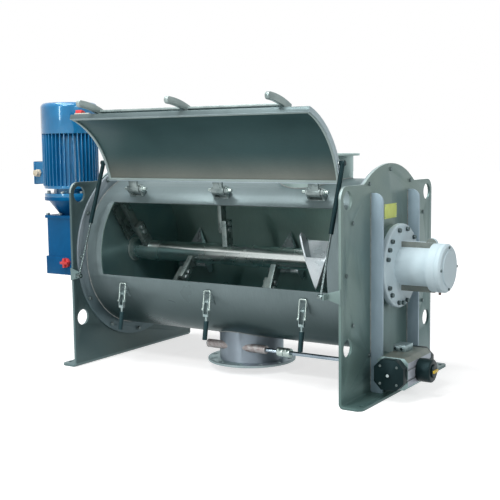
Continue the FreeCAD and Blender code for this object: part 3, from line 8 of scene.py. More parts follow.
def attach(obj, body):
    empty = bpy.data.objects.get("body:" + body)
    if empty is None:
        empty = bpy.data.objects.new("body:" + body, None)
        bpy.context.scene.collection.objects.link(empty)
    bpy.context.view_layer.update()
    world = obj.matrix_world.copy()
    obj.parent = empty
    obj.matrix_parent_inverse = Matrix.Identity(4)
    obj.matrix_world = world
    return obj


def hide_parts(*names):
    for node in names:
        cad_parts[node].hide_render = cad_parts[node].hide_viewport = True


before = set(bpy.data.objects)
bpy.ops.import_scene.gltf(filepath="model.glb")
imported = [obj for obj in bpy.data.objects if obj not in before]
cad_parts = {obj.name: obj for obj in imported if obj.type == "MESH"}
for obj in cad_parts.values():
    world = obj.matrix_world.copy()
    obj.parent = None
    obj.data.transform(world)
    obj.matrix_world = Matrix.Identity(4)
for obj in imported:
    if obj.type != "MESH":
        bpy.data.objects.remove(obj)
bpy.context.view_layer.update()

# Studio. A white room with a pale floor and soft lamps overhead, and a camera
# that stands to the front right at about the height of the motor.
camera_place = (2.5835, -3.9846, 1.1230)
camera_heading = 0.576
camera_tilt = math.pi / 2 - 0.111
camera_roll = -0.0118
camera_data = bpy.data.cameras.new("camera")
camera_data.lens = 68.23
camera_data.sensor_width = 36.0
camera = bpy.data.objects.new("camera", camera_data)
heading = Matrix.Rotation(camera_heading, 4, "Z")
tilt = Matrix.Rotation(camera_tilt, 4, "X")
roll = Matrix.Rotation(camera_roll, 4, "Z")
camera.matrix_world = Matrix.Translation(camera_place) @ heading @ tilt @ roll
bpy.context.scene.collection.objects.link(camera)
bpy.context.scene.camera = camera


def soft_lamp(name, place, target, width, height, power):
    """Rectangular area lamp that faces its target."""
    data = bpy.data.lights.new(name, "AREA")
    data.shape = "RECTANGLE"
    data.size = width
    data.size_y = height
    data.energy = power
    lamp = bpy.data.objects.new(name, data)
    lamp.location = place
    lamp.rotation_euler = (Vector(target) - Vector(place)).to_track_quat("-Z", "Y").to_euler()
    bpy.context.scene.collection.objects.link(lamp)


soft_lamp("lamp_overhead", (-0.4, -1.3, 4.4), (0, 0, 0.7), 2.4, 2.4, 140)
soft_lamp("lamp_high_front", (0.2, -3.3, 3.7), (0.1, 0, 0.6), 1.4, 0.6, 60)
soft_lamp("lamp_above_left", (-2.2, -0.2, 4.0), (0, -0.2, 0.9), 0.9, 0.9, 30)
soft_lamp("lamp_right", (4.4, -1.6, 2.6), (0.6, 0, 0.6), 1.6, 1.6, 50)
soft_lamp("lamp_front", (-0.7, -4.6, 2.0), (-0.5, 0, 0.7), 0.35, 2.8, 55)


def wire(tree, *runs):
    """Links nodes; each run is a node, its output, the next node and its input."""
    for source, output, target, entry in runs:
        tree.links.new(source.outputs[output], target.inputs[entry])


def set_values(node, **values):
    """Sets a node's inputs, with a name's spaces written as underscores."""
    for name, value in values.items():
        node.inputs[name.replace("_", " ")].default_value = value


def worker(tree, kind, operation):
    """Math or vector math node with its operation set."""
    node = tree.nodes.new(kind)
    node.operation = operation
    return node


def ramp(tree, from_low, from_high, to_low, to_high):
    """Map Range node from one pair of values to another."""
    node = tree.nodes.new("ShaderNodeMapRange")
    set_values(node, From_Min=from_low, From_Max=from_high, To_Min=to_low, To_Max=to_high)
    return node


def showing_rays(tree):
    """Node that gives 1 to camera, glossy and transmission rays and 0 to the others."""
    path = tree.nodes.new("ShaderNodeLightPath")
    mirrored = worker(tree, "ShaderNodeMath", "MAXIMUM")
    shown = worker(tree, "ShaderNodeMath", "MAXIMUM")
    wire(tree, (path, "Is Camera Ray", mirrored, 0), (path, "Is Glossy Ray", mirrored, 1),
         (mirrored, 0, shown, 0), (path, "Is Transmission Ray", shown, 1))
    return shown


room_light = 0.24
white = 1.0
world = bpy.data.worlds.new("white_room")
world.use_nodes = True
bpy.context.scene.world = world
room = world.node_tree
background = room.nodes["Background"]
set_values(background, Color=(1, 1, 1, 1))
level = ramp(room, 0.0, 1.0, room_light, white)
wire(room, (showing_rays(room), 0, level, "Value"), (level, 0, background, "Strength"))

floor_half = 30
floor_grey = 0.66
fade_start = 1.0
fade_end = 5.0
corners = [(x * floor_half, y * floor_half, 0) for x, y in ((-1, -1), (1, -1), (1, 1), (-1, 1))]
floor_mesh = bpy.data.meshes.new("floor")
floor_mesh.from_pydata(corners, [], [(0, 1, 2, 3)])
floor = bpy.data.objects.new("floor", floor_mesh)
bpy.context.scene.collection.objects.link(floor)
floor_paint = bpy.data.materials.new("pale_floor")
floor_paint.use_nodes = True
floor_tree = floor_paint.node_tree
floor_shader = floor_tree.nodes["Principled BSDF"]
set_values(floor_shader, Base_Color=(0.6, 0.6, 0.6, 1), Roughness=0.9, Specular_IOR_Level=0.1,
           Emission_Color=(1, 1, 1, 1))
spot = floor_tree.nodes.new("ShaderNodeTexCoord")
reach = worker(floor_tree, "ShaderNodeVectorMath", "LENGTH")
fade = ramp(floor_tree, fade_start, fade_end, floor_grey, white)
glow = worker(floor_tree, "ShaderNodeMath", "MULTIPLY")
wire(floor_tree, (spot, "Object", reach, 0), (reach, "Value", fade, "Value"),
     (showing_rays(floor_tree), 0, glow, 0), (fade, 0, glow, 1),
     (glow, 0, floor_shader, "Emission Strength"))
floor_mesh.materials.append(floor_paint)
bpy.context.scene.view_settings.view_transform = "Standard"

# End plates. Two plates of 12 mm stainless sheet, blasted with glass beads, each with a
# domed head over the drum, round lifting holes in its corners and its foot bent outwards.
axis_height = 0.564


def give_sockets(tree, inputs, outputs):
    """Gives a node group its sockets, each a name with its kind."""
    for way, sockets in (("INPUT", inputs), ("OUTPUT", outputs)):
        for name, kind in sockets.items():
            tree.interface.new_socket(name, in_out=way, socket_type="NodeSocket" + kind)


def sheet_surface_group():
    """Fine grain and broad clouds of a blasted or brushed sheet."""
    group = bpy.data.node_groups.new("sheet surface", "ShaderNodeTree")
    give_sockets(group, {"Position": "Vector", "Stretch": "Vector", "Grain scale": "Float",
                         "Cloud scale": "Float"}, {"Grain": "Float", "Clouds": "Float"})
    start = group.nodes.new("NodeGroupInput")
    end = group.nodes.new("NodeGroupOutput")
    stretched = worker(group, "ShaderNodeVectorMath", "MULTIPLY")
    fine = group.nodes.new("ShaderNodeTexNoise")
    set_values(fine, Detail=3.0, Roughness=0.7)
    broad = group.nodes.new("ShaderNodeTexNoise")
    set_values(broad, Detail=4.0, Distortion=0.4)
    wire(group, (start, "Position", stretched, 0), (start, "Stretch", stretched, 1),
         (stretched, 0, fine, "Vector"), (start, "Grain scale", fine, "Scale"),
         (start, "Position", broad, "Vector"), (start, "Cloud scale", broad, "Scale"),
         (fine, "Fac", end, "Grain"), (broad, "Fac", end, "Clouds"))
    return group


sheet_surface = sheet_surface_group()


def mixed(tree, first, second):
    """Colour mix node from the first colour to the second."""
    node = tree.nodes.new("ShaderNodeMix")
    node.data_type = "RGBA"
    set_values(node, A=(*first, 1), B=(*second, 1))
    return node


def height_mask(tree, place, bottom, top):
    """0 up to the bottom height and 1 from the top one, eased between them."""
    parts = tree.nodes.new("ShaderNodeSeparateXYZ")
    rise = ramp(tree, bottom, top, 0.0, 1.0)
    rise.interpolation_type = "SMOOTHSTEP"
    wire(tree, (place, "Object", parts, 0), (parts, "Z", rise, "Value"))
    return rise


def radius_mask(tree, place, radius):
    """1 within a radius of the drum's axis, where light is painted onto the plate."""
    centred = worker(tree, "ShaderNodeVectorMath", "MULTIPLY_ADD")
    centred.inputs[1].default_value = (0, 1, 1)
    centred.inputs[2].default_value = (0, 0, -axis_height)
    length = worker(tree, "ShaderNodeVectorMath", "LENGTH")
    within = worker(tree, "ShaderNodeMath", "LESS_THAN")
    within.inputs[1].default_value = radius
    wire(tree, (place, "Object", centred, 0), (centred, 0, length, 0),
         (length, "Value", within, 0))
    return within


def toned(tree, shade, mask, first_tone, second_tone):
    """Colour multiplied by a tone that follows a mask from the first to the second."""
    tone = mixed(tree, first_tone, second_tone)
    product = worker(tree, "ShaderNodeVectorMath", "MULTIPLY")
    wire(tree, (mask, 0, tone, "Factor"), (shade, 0, product, 0), (tone, "Result", product, 1))
    return product


cloud_span = (0.3, 0.7)
grain_span = (0.25, 0.75)
roughness_drift = 0.07
grain_depth = 0.0004


def surface(name, dark, light, roughness, metallic, stretch=(1, 1, 1), grain=700.0, clouds=5.0,
            spread=0.12, bump=0.15, coat=0.0, gloss=0.4, tint=(0.75, 0.97, 1.0),
            low=None, painted_light_within=None):
    """Material whose colour drifts from dark to light in clouds, under a fine grain."""
    material = bpy.data.materials.new(name)
    material.use_nodes = True
    tree = material.node_tree
    shader = tree.nodes["Principled BSDF"]
    set_values(shader, Metallic=metallic, Coat_Weight=coat, Specular_IOR_Level=gloss,
               Specular_Tint=(*tint, 1))
    place = tree.nodes.new("ShaderNodeTexCoord")
    sheet = tree.nodes.new("ShaderNodeGroup")
    sheet.node_tree = sheet_surface
    set_values(sheet, Stretch=stretch, Grain_scale=grain, Cloud_scale=clouds)
    drift = ramp(tree, *cloud_span, 0.0, 1.0)
    colour = mixed(tree, dark, light)
    speck = ramp(tree, *grain_span, 1.0 - spread, 1.0 + spread)
    shade = worker(tree, "ShaderNodeVectorMath", "SCALE")
    wire(tree, (place, "Object", sheet, "Position"), (sheet, "Clouds", drift, "Value"),
         (drift, 0, colour, "Factor"), (sheet, "Grain", speck, "Value"),
         (colour, "Result", shade, 0), (speck, 0, shade, "Scale"))
    # Painted shade and light: a tone that changes with height.
    if low:
        bottom, top, low_tone, high_tone = low
        shade = toned(tree, shade, height_mask(tree, place, bottom, top), low_tone, high_tone)
    # Painted light: a brighter tone within a radius of the drum's axis.
    if painted_light_within:
        radius, painted_light_tone = painted_light_within
        shade = toned(tree, shade, radius_mask(tree, place, radius), (1, 1, 1), painted_light_tone)
    rough = ramp(tree, *cloud_span, roughness - roughness_drift, roughness + roughness_drift)
    relief = tree.nodes.new("ShaderNodeBump")
    set_values(relief, Strength=bump, Distance=grain_depth)
    wire(tree, (shade, 0, shader, "Base Color"), (sheet, "Clouds", rough, "Value"),
         (rough, 0, shader, "Roughness"), (sheet, "Grain", relief, "Height"),
         (relief, 0, shader, "Normal"))
    return material


def smooth_by_angle(mesh):
    """Smooth shading that keeps the sharper edges."""
    mesh.shade_smooth()
    mesh.set_sharp_from_angle(angle=math.radians(35))


def placed(name, mesh, material, body, *nodes):
    """Object for a finished mesh that rides on its body and stands for its solids."""
    mesh.materials.clear()
    mesh.materials.append(material)
    piece = bpy.data.objects.new(name, mesh)
    bpy.context.scene.collection.objects.link(piece)
    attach(piece, body)
    if nodes:
        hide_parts(*nodes)
    return piece


def baked(piece):
    """Mesh of an object with its modifiers worked in; the object goes."""
    graph = bpy.context.evaluated_depsgraph_get()
    mesh = bpy.data.meshes.new_from_object(piece.evaluated_get(graph))
    bpy.data.objects.remove(piece)
    return mesh


def eased(mesh, edge):
    """The same mesh with its sharp edges rounded to a small width."""
    piece = bpy.data.objects.new("blank", mesh)
    bpy.context.scene.collection.objects.link(piece)
    bevel = piece.modifiers.new("ease", "BEVEL")
    bevel.width = edge
    bevel.segments = 2
    bevel.limit_method = "ANGLE"
    bevel.angle_limit = math.radians(30)
    bevel.harden_normals = False
    rounded = baked(piece)
    smooth_by_angle(rounded)
    return rounded


def from_solid(node, edge):
    """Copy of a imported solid's mesh, closed up, cleaned and with its edges eased."""
    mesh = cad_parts[node].data.copy()
    work = bmesh.new()
    work.from_mesh(mesh)
    bmesh.ops.remove_doubles(work, verts=work.verts, dist=0.00002)
    bmesh.ops.dissolve_limit(work, angle_limit=math.radians(0.5), verts=work.verts,
                             edges=work.edges)
    work.to_mesh(mesh)
    work.free()
    return eased(mesh, edge)


def restyled(node, material, body, edge):
    """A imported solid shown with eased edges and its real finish."""
    return placed(node + "_finished", from_solid(node, edge), material, body, node)


def refinish(piece, material, chosen):
    """Gives the faces that the test picks, by middle and normal, a finish of their own."""
    mesh = piece.data
    mesh.materials.append(material)
    for face in mesh.polygons:
        if chosen(face.center, face.normal):
            face.material_index = len(mesh.materials) - 1


# The plate sheet is darker towards its foot as painted shade.
plate_sheet_painted_shade = surface("plate_sheet_painted_shade", dark=(0.130, 0.200, 0.205), light=(0.210, 0.280, 0.258),
                      roughness=0.40, metallic=0.25, grain=420.0, clouds=3.5, spread=0.10,
                      bump=0.25, low=(0.0, 0.8, (0.48, 0.60, 0.60), (1.0, 0.98, 0.95)))
sheared = surface("sheared_edge", dark=(0.26, 0.34, 0.34), light=(0.36, 0.44, 0.43), roughness=0.4,
                  metallic=0.3, grain=600.0, clouds=30.0)
# The left plate gets a darker copy of the plate sheet as painted shade, with more painted shade at
# its top and painted light towards its foot.
painted_shade_sheet = surface("painted_shade_sheet", dark=(0.075, 0.120, 0.125), light=(0.115, 0.160, 0.154),
                       roughness=0.40, metallic=0.25, grain=420.0, clouds=3.5, spread=0.10,
                       bump=0.25, low=(0.2, 0.9, (1.3, 1.3, 1.3), (0.75, 0.78, 0.80)))
# The plates' inner faces get a still darker copy of the sheet as painted shade, made brighter
# within the drum's bore as painted light.
inside_painted_light_sheet = surface("inside_painted_light_sheet", dark=(0.055, 0.092, 0.097), light=(0.085, 0.122, 0.118),
                      roughness=0.40, metallic=0.25, grain=420.0, clouds=3.5, spread=0.10,
                      bump=0.25, painted_light_within=(0.391, (2.4, 2.6, 2.6)))
plate_middle = 0.759
plate_inside = 0.7535
plate_edge_y = 0.48
plate_edge_z = 0.9
foot_top = 0.02
cut_band = 0.0055
square_on = 0.9
for node, finish in (("left_end_plate", painted_shade_sheet), ("right_end_plate", plate_sheet_painted_shade)):
    plate = restyled(node, finish, "frame", edge=0.0012)
    refinish(plate, inside_painted_light_sheet,
             lambda at, normal: abs(normal.x) > square_on and abs(at.x) < plate_inside)
    refinish(plate, sheared,
             lambda at, normal: abs(normal.x) < square_on and at.z > foot_top
             and abs(abs(at.x) - plate_middle) < cut_band
             and (abs(at.y) > plate_edge_y or normal.z > 0.1 and at.z > plate_edge_z))

# Stiffening ribs. Flat bars on edge, two on the outside of each plate, with a rounded
# upper corner, painted a pale lavender grey and welded along both sides.
rib_paint = surface("lavender_grey_paint", dark=(0.30, 0.40, 0.47), light=(0.39, 0.51, 0.59),
                    roughness=0.5, metallic=0.05, grain=300.0, clouds=6.0, spread=0.05)
restyled("plate_ribs", rib_paint, "frame", edge=0.0012)
rib_y = 0.200
rib_half = 0.006
rib_weld_bottom = 0.03
rib_weld_top = 0.90
plate_face = 0.765


def weld_tree():
    """Geometry nodes that lay overlapping ripples along an edge path."""
    tree = bpy.data.node_groups.new("weld bead", "GeometryNodeTree")
    give_sockets(tree, {"Geometry": "Geometry", "Pitch": "Float", "Half width": "Float",
                        "Finish": "Material"}, {"Geometry": "Geometry"})
    start = tree.nodes.new("NodeGroupInput")
    end = tree.nodes.new("NodeGroupOutput")
    path = tree.nodes.new("GeometryNodeMeshToCurve")
    points = tree.nodes.new("GeometryNodeCurveToPoints")
    points.mode = "LENGTH"
    ripple = tree.nodes.new("GeometryNodeMeshUVSphere")
    set_values(ripple, Segments=8, Rings=5)
    place = tree.nodes.new("GeometryNodeInstanceOnPoints")
    jitter = tree.nodes.new("FunctionNodeRandomValue")
    jitter.inputs["Min"].default_value = 0.85
    jitter.inputs["Max"].default_value = 1.12
    jitter.inputs["Seed"].default_value = 7
    real = tree.nodes.new("GeometryNodeRealizeInstances")
    finish = tree.nodes.new("GeometryNodeSetMaterial")
    wire(tree, (start, "Geometry", path, "Mesh"), (path, "Curve", points, "Curve"),
         (start, "Pitch", points, "Length"), (start, "Half width", ripple, "Radius"),
         (points, "Points", place, "Points"), (ripple, "Mesh", place, "Instance"),
         (jitter, "Value", place, "Scale"), (place, "Instances", real, "Geometry"),
         (real, "Geometry", finish, "Geometry"), (start, "Finish", finish, "Material"),
         (finish, "Geometry", end, "Geometry"))
    return tree


weld_nodes = weld_tree()


def set_input(modifier, name, value):
    """Sets a named input of a geometry nodes modifier by its socket's identifier."""
    for item in modifier.node_group.interface.items_tree:
        if item.item_type == "SOCKET" and item.in_out == "INPUT" and item.name == name:
            modifier[item.identifier] = value


def node_mesh(name, mesh, tree, **values):
    """Mesh that a geometry nodes tree makes from a starting mesh and its named values."""
    piece = bpy.data.objects.new(name, mesh)
    bpy.context.scene.collection.objects.link(piece)
    modifier = piece.modifiers.new("make", "NODES")
    modifier.node_group = tree
    for key, value in values.items():
        set_input(modifier, key.replace("_", " "), value)
    made = baked(piece)
    made.shade_smooth()
    return made


def polyline(name, paths):
    """Mesh of open edge paths."""
    mesh = bpy.data.meshes.new(name)
    points = [point for path in paths for point in path]
    edges = []
    first = 0
    for path in paths:
        edges.extend((first + k, first + k + 1) for k in range(len(path) - 1))
        first += len(path)
    mesh.from_pydata(points, edges, [])
    return mesh


weld_metal = surface("weld_metal", dark=(0.20, 0.21, 0.20), light=(0.34, 0.35, 0.34), roughness=0.4,
                     metallic=0.7, grain=500.0, clouds=40.0)


def weld(name, paths, pitch=0.005, half_width=0.003):
    """Rippled weld bead along each path."""
    mesh = node_mesh(name, polyline(name, paths), weld_nodes,
                     Pitch=pitch, Half_width=half_width, Finish=weld_metal)
    return placed(name, mesh, weld_metal, "frame")


rib_paths = []
for side in (-1, 1):
    for y in (-rib_y, rib_y):
        for edge_y in (y - rib_half, y + rib_half):
            rib_paths.append([(side * plate_face, edge_y, rib_weld_bottom),
                              (side * plate_face, edge_y, rib_weld_top)])
weld("rib_welds", rib_paths)

# Drum. A rolled shell of 6 mm stainless sheet with a rectangular door opening, brushed
# round its girth, and a bolting ring welded on at each end.
shell_radius = 0.396
shell_inside = 0.391
ring_face = 0.743
girth_steps = 96
# The shell's outside is darker towards its bottom as painted shade.
brushed = surface("brushed_shell_painted_shade", dark=(0.118, 0.158, 0.162), light=(0.160, 0.204, 0.212),
                  roughness=0.32, metallic=0.30, gloss=0.12, stretch=(1.0, 0.06, 0.06), grain=420.0,
                  clouds=2.6, spread=0.09, bump=0.2,
                  low=(0.22, 0.46, (0.12, 0.20, 0.20), (1.05, 1.05, 1.05)))
# The drum's ground inside is darker towards its bottom and lighter towards its top, as painted
# shade and light.
ground_inside_painted_shade = surface("ground_inside_painted_shade", dark=(0.25, 0.38, 0.38), light=(0.33, 0.46, 0.44),
                        roughness=0.34, metallic=0.45, stretch=(1.0, 0.06, 0.06), grain=420.0,
                        clouds=2.2, spread=0.09, bump=0.2,
                        low=(0.28, 0.78, (0.34, 0.46, 0.46), (1.35, 1.28, 1.20)))


def from_axis(point):
    """Distance of a point from the drum's axis."""
    return math.hypot(point.y, point.z - axis_height)


shell = restyled("drum_shell", brushed, "frame", edge=0.001)
refinish(shell, ground_inside_painted_shade, lambda at, normal: from_axis(at) < shell_inside)
# The ring steel's colour is raised as painted light, and it is darker towards the bottom as painted
# shade.
ring_steel_painted_light_shade = surface("ring_steel_painted_light_shade", dark=(0.22, 0.265, 0.295), light=(0.30, 0.345, 0.375),
                     roughness=0.40, metallic=0.30, grain=420.0, clouds=4.0,
                     low=(0.25, 0.65, (0.40, 0.50, 0.50), (1, 1, 1)))
restyled("left_drum_ring", ring_steel_painted_light_shade, "frame", edge=0.001)
restyled("right_drum_ring", ring_steel_painted_light_shade, "frame", edge=0.001)


def drum_point(x, radius, degrees):
    """Point at an angle round the drum; 0 is the front and 90 the top."""
    a = math.radians(degrees)
    return Vector((x, -radius * math.cos(a), axis_height + radius * math.sin(a)))


def girth_path(x):
    """Path once round the shell at one place along it."""
    return [drum_point(x, shell_radius, -180 + 360 * k / girth_steps)
            for k in range(girth_steps + 1)]


weld("shell_welds", [girth_path(-ring_face), girth_path(ring_face)], pitch=0.006, half_width=0.0035)

# Ring bolts. Hexagon bolts and nuts on flat washers that hold the drum rings to the end
# plates, twelve at each end, in stainless steel that has gone a dull dark grey.
ring_bolt_count = 12
ring_bolt_circle = 0.440


def skin(name, rings, looped=False):
    """Closed mesh through rings of points, capped at its ends or looped round."""
    mesh = bpy.data.meshes.new(name)
    work = bmesh.new()
    rows = [[work.verts.new(point) for point in ring] for ring in rings]
    count = len(rings[0])
    pairs = list(zip(rows, rows[1:]))
    if looped:
        pairs.append((rows[-1], rows[0]))
    for low, high in pairs:
        for k in range(count):
            n = (k + 1) % count
            work.faces.new((low[k], low[n], high[n], high[k]))
    if not looped:
        work.faces.new(list(reversed(rows[0])))
        work.faces.new(rows[-1])
    bmesh.ops.remove_doubles(work, verts=work.verts, dist=0.000001)
    bmesh.ops.recalc_face_normals(work, faces=work.faces)
    work.to_mesh(mesh)
    work.free()
    smooth_by_angle(mesh)
    return mesh


def ring_of(radius, height, flats=0):
    """Ring of 24 points about Z; with flats it is drawn in to a shape of that many sides."""
    points = []
    for k in range(24):
        a = 2 * math.pi * k / 24
        r = radius
        if flats:
            part = math.pi / flats
            r = radius * math.cos(part) / math.cos((a + part) % (2 * part) - part)
        points.append((r * math.cos(a), r * math.sin(a), height))
    return points


def hex_head(across_flats, height, washer):
    """Hexagon head or nut on its washer, chamfered on top."""
    corner = across_flats / math.sqrt(3)
    rings = [ring_of(corner * 1.12, 0), ring_of(corner * 1.12, washer * 0.8),
             ring_of(corner * 1.08, washer), ring_of(corner, washer, flats=6),
             ring_of(corner, height * 0.86, flats=6), ring_of(across_flats / 2 * 0.98, height)]
    return skin("hex head", rings)


def circle_tree():
    """Geometry nodes that set a fastener at equal steps round a circle about Z."""
    tree = bpy.data.node_groups.new("fasteners round a circle", "GeometryNodeTree")
    give_sockets(tree, {"Geometry": "Geometry", "Count": "Int", "Pitch radius": "Float",
                        "Finish": "Material"}, {"Geometry": "Geometry"})
    start = tree.nodes.new("NodeGroupInput")
    end = tree.nodes.new("NodeGroupOutput")
    circle = tree.nodes.new("GeometryNodeMeshCircle")
    place = tree.nodes.new("GeometryNodeInstanceOnPoints")
    real = tree.nodes.new("GeometryNodeRealizeInstances")
    finish = tree.nodes.new("GeometryNodeSetMaterial")
    wire(tree, (start, "Count", circle, "Vertices"), (start, "Pitch radius", circle, "Radius"),
         (circle, "Mesh", place, "Points"), (start, "Geometry", place, "Instance"),
         (place, "Instances", real, "Geometry"), (real, "Geometry", finish, "Geometry"),
         (start, "Finish", finish, "Material"), (finish, "Geometry", end, "Geometry"))
    return tree


circle_nodes = circle_tree()


def facing(point, direction):
    """Matrix that takes the Z axis at the origin to a direction at a point."""
    turn = Vector(direction).to_track_quat("Z", "Y").to_matrix().to_4x4()
    return Matrix.Translation(Vector(point)) @ turn


def fastener_circle(fastener, count, pitch_radius, centre, direction, finish):
    """Mesh of one fastener repeated round a circle, its heads along the direction."""
    mesh = node_mesh("fasteners", fastener, circle_nodes, Count=count,
                     Pitch_radius=pitch_radius, Finish=finish)
    smooth_by_angle(mesh)
    mesh.transform(facing(centre, direction))
    return mesh


def joined(name, meshes):
    """One mesh from several."""
    work = bmesh.new()
    for mesh in meshes:
        work.from_mesh(mesh)
    result = bpy.data.meshes.new(name)
    work.to_mesh(result)
    work.free()
    smooth_by_angle(result)
    return result


screw_grey = surface("screw_grey", dark=(0.09, 0.12, 0.12), light=(0.16, 0.20, 0.20),
                     roughness=0.36, metallic=0.6, grain=900.0, clouds=60.0)
ring_bolt_sets = []
for side in (-1, 1):
    for head, face, way in ((hex_head(0.0150, 0.0060, washer=0.0016), plate_face, side),
                            (hex_head(0.0180, 0.0100, washer=0.0022), ring_face, -side)):
        centre = (side * face, 0, axis_height)
        ring_bolt_sets.append(fastener_circle(head, ring_bolt_count, ring_bolt_circle, centre,
                                              (way, 0, 0), screw_grey))
placed("ring_bolt_heads", joined("ring_bolt_heads", ring_bolt_sets), screw_grey, "frame",
       "ring_bolts")

# Filling nozzle. A rolled pipe welded to the top of the drum, with a thin drilled flange,
# brushed round, its colour brighter than the drum's as painted light from above.
inlet_x = 0.377
inlet_radius = 0.1778
inlet_steel_painted_light = surface("inlet_steel_painted_light", dark=(0.33, 0.44, 0.42), light=(0.43, 0.54, 0.52),
                      roughness=0.40, metallic=0.4, stretch=(0.2, 0.2, 3.0), grain=380.0,
                      clouds=3.0, spread=0.08, bump=0.2)
restyled("inlet_nozzle", inlet_steel_painted_light, "frame", edge=0.0008)


def saddle_path(x, pipe_radius, sign):
    """Path where an upright pipe meets the drum; sign is 1 on top and -1 below."""
    path = []
    steps = 120
    for k in range(steps + 1):
        a = 2 * math.pi * k / steps
        y = pipe_radius * math.sin(a)
        rise = math.sqrt(shell_radius ** 2 - y * y)
        path.append((x + pipe_radius * math.cos(a), y, axis_height + sign * rise))
    return path


weld("inlet_weld", [saddle_path(inlet_x, inlet_radius, 1)], half_width=0.0032)

# Outlet. A pipe of nominal size 300 under the drum with its drilled flange, more bluish
# than the drum, and two bored bosses of raw cast steel in which the flap's shaft runs.
outlet_radius = 0.162
flange_top = 0.049
flap_shaft_y = -0.135
flap_shaft_z = 0.125
boss_radius = 0.021
boss_start = 0.06
skin_allowance = 0.001
outlet_steel = surface("outlet_pipe_steel", dark=(0.205, 0.25, 0.29), light=(0.30, 0.35, 0.405),
                       roughness=0.42, metallic=0.4, stretch=(1, 1, 8), grain=160.0, clouds=4.0,
                       spread=0.06, bump=0.1)
flange_steel = surface("flange_steel", dark=(0.26, 0.34, 0.35), light=(0.36, 0.44, 0.45),
                       roughness=0.36, metallic=0.5, grain=300.0, clouds=8.0)
raw_boss = surface("raw_boss_steel", dark=(0.24, 0.185, 0.18), light=(0.46, 0.455, 0.45),
                   roughness=0.42, metallic=0.35, grain=300.0, clouds=55.0, spread=0.12, bump=0.3)


def from_outlet(point):
    """Distance of a point from the outlet pipe's middle line."""
    return math.hypot(point.x, point.y)


def from_flap_shaft(point):
    """Distance of a point from the flap shaft's middle line."""
    return math.hypot(point.y - flap_shaft_y, point.z - flap_shaft_z)


outlet = restyled("outlet_pipe", outlet_steel, "frame", edge=0.001)
refinish(outlet, flange_steel,
         lambda at, normal: at.z < flange_top + skin_allowance and from_outlet(at) > outlet_radius)
refinish(outlet, raw_boss,
         lambda at, normal: abs(at.x) > boss_start and from_outlet(at) > outlet_radius + 0.0006
         and from_flap_shaft(at) < boss_radius + skin_allowance)
weld("outlet_weld", [saddle_path(0.0, outlet_radius, -1)], half_width=0.0032)

# Discharge flap. A stainless plate curved to the drum's bore, held by two arms on a
# ground shaft, with a split clamp coupling between the outlet and the end plate.
# The flap takes the drum's inside finish with its painted shade towards the bottom.
restyled("discharge_flap", ground_inside_painted_shade, "flap", edge=0.001)
ground_bar = surface("ground_bar", dark=(0.24, 0.30, 0.35), light=(0.36, 0.43, 0.49),
                     roughness=0.22, metallic=0.9, stretch=(8, 1, 1), grain=260.0, clouds=12.0,
                     spread=0.08, bump=0.1)
coupling_steel = surface("coupling_steel", dark=(0.36, 0.44, 0.42), light=(0.48, 0.56, 0.53),
                         roughness=0.3, metallic=0.75, stretch=(1, 6, 6), grain=220.0, clouds=10.0,
                         spread=0.07, bump=0.12)
restyled("flap_shaft", ground_bar, "flap", edge=0.0006)
restyled("flap_coupling", coupling_steel, "flap", edge=0.0006)

# Flap drive. A rotary air actuator on a bent console: an extruded aluminium body, black
# octagonal end caps with cap screws and an adjusting screw, and an air block on top.
cast_aluminium = surface("aluminium", dark=(0.20, 0.29, 0.29), light=(0.28, 0.385, 0.385),
                         roughness=0.42, metallic=0.5, stretch=(1, 0.1, 1), grain=500.0, clouds=9.0,
                         spread=0.06)
top_painted_reflection = surface("actuator_top_painted_reflection", dark=(0.10, 0.12, 0.105), light=(0.19, 0.205, 0.18),
                    roughness=0.4, metallic=0.3, grain=500.0, clouds=14.0)
side_painted_reflection = surface("actuator_side_painted_reflection", dark=(0.27, 0.30, 0.35), light=(0.40, 0.43, 0.48),
                        roughness=0.4, metallic=0.3, stretch=(1, 1, 0.1), grain=500.0, clouds=12.0)
black_plastic = surface("black_plastic", dark=(0.004, 0.010, 0.011), light=(0.009, 0.020, 0.021),
                        roughness=0.36, metallic=0.0, grain=900.0, clouds=15.0, spread=0.2,
                        bump=0.3, gloss=0.16, tint=(0.55, 0.9, 1.0))
blasted = surface("blasted_sheet", dark=(0.125, 0.190, 0.195), light=(0.195, 0.262, 0.240),
                  roughness=0.42, metallic=0.25, grain=420.0, clouds=3.5, spread=0.10, bump=0.25)
bolt_steel = surface("bolt_steel", dark=(0.30, 0.36, 0.37), light=(0.44, 0.50, 0.50),
                     roughness=0.32, metallic=0.85, grain=900.0, clouds=60.0)
actuator_middle = 0.8985
actuator_face = 0.96
air_port_y = -0.148
cap_end = flap_shaft_y - 0.172
cap_screw_x = 0.0390
cap_screw_z = 0.0387
adjusting_screw_reach = 0.0085
body = restyled("actuator_body", cast_aluminium, "frame", edge=0.0012)
# The body's top faces and its outer face get colours of their own as painted reflection, not the
# aluminium's own colour.
refinish(body, top_painted_reflection, lambda at, normal: normal.z > 0.5)
refinish(body, side_painted_reflection,
         lambda at, normal: normal.x > square_on and at.x > actuator_face)
restyled("actuator_end_caps", black_plastic, "frame", edge=0.0022)
restyled("actuator_console", blasted, "frame", edge=0.0008)
valve = restyled("air_block", flange_steel, "frame", edge=0.0010)
refinish(valve, black_plastic, lambda at, normal: normal.y < -square_on and at.y < air_port_y)


def socket_head(radius, height):
    """Socket screw head with a bevelled rim and a hexagon recess."""
    rings = [ring_of(radius, 0), ring_of(radius, height * 0.88), ring_of(radius * 0.9, height),
             ring_of(radius * 0.62, height), ring_of(radius * 0.58, height * 0.97, flats=6),
             ring_of(radius * 0.56, height * 0.45, flats=6)]
    return skin("socket head", rings)


def set_at(mesh, point, direction):
    """The mesh moved so that its Z axis points along the direction from the point."""
    mesh.transform(facing(point, direction))
    return mesh


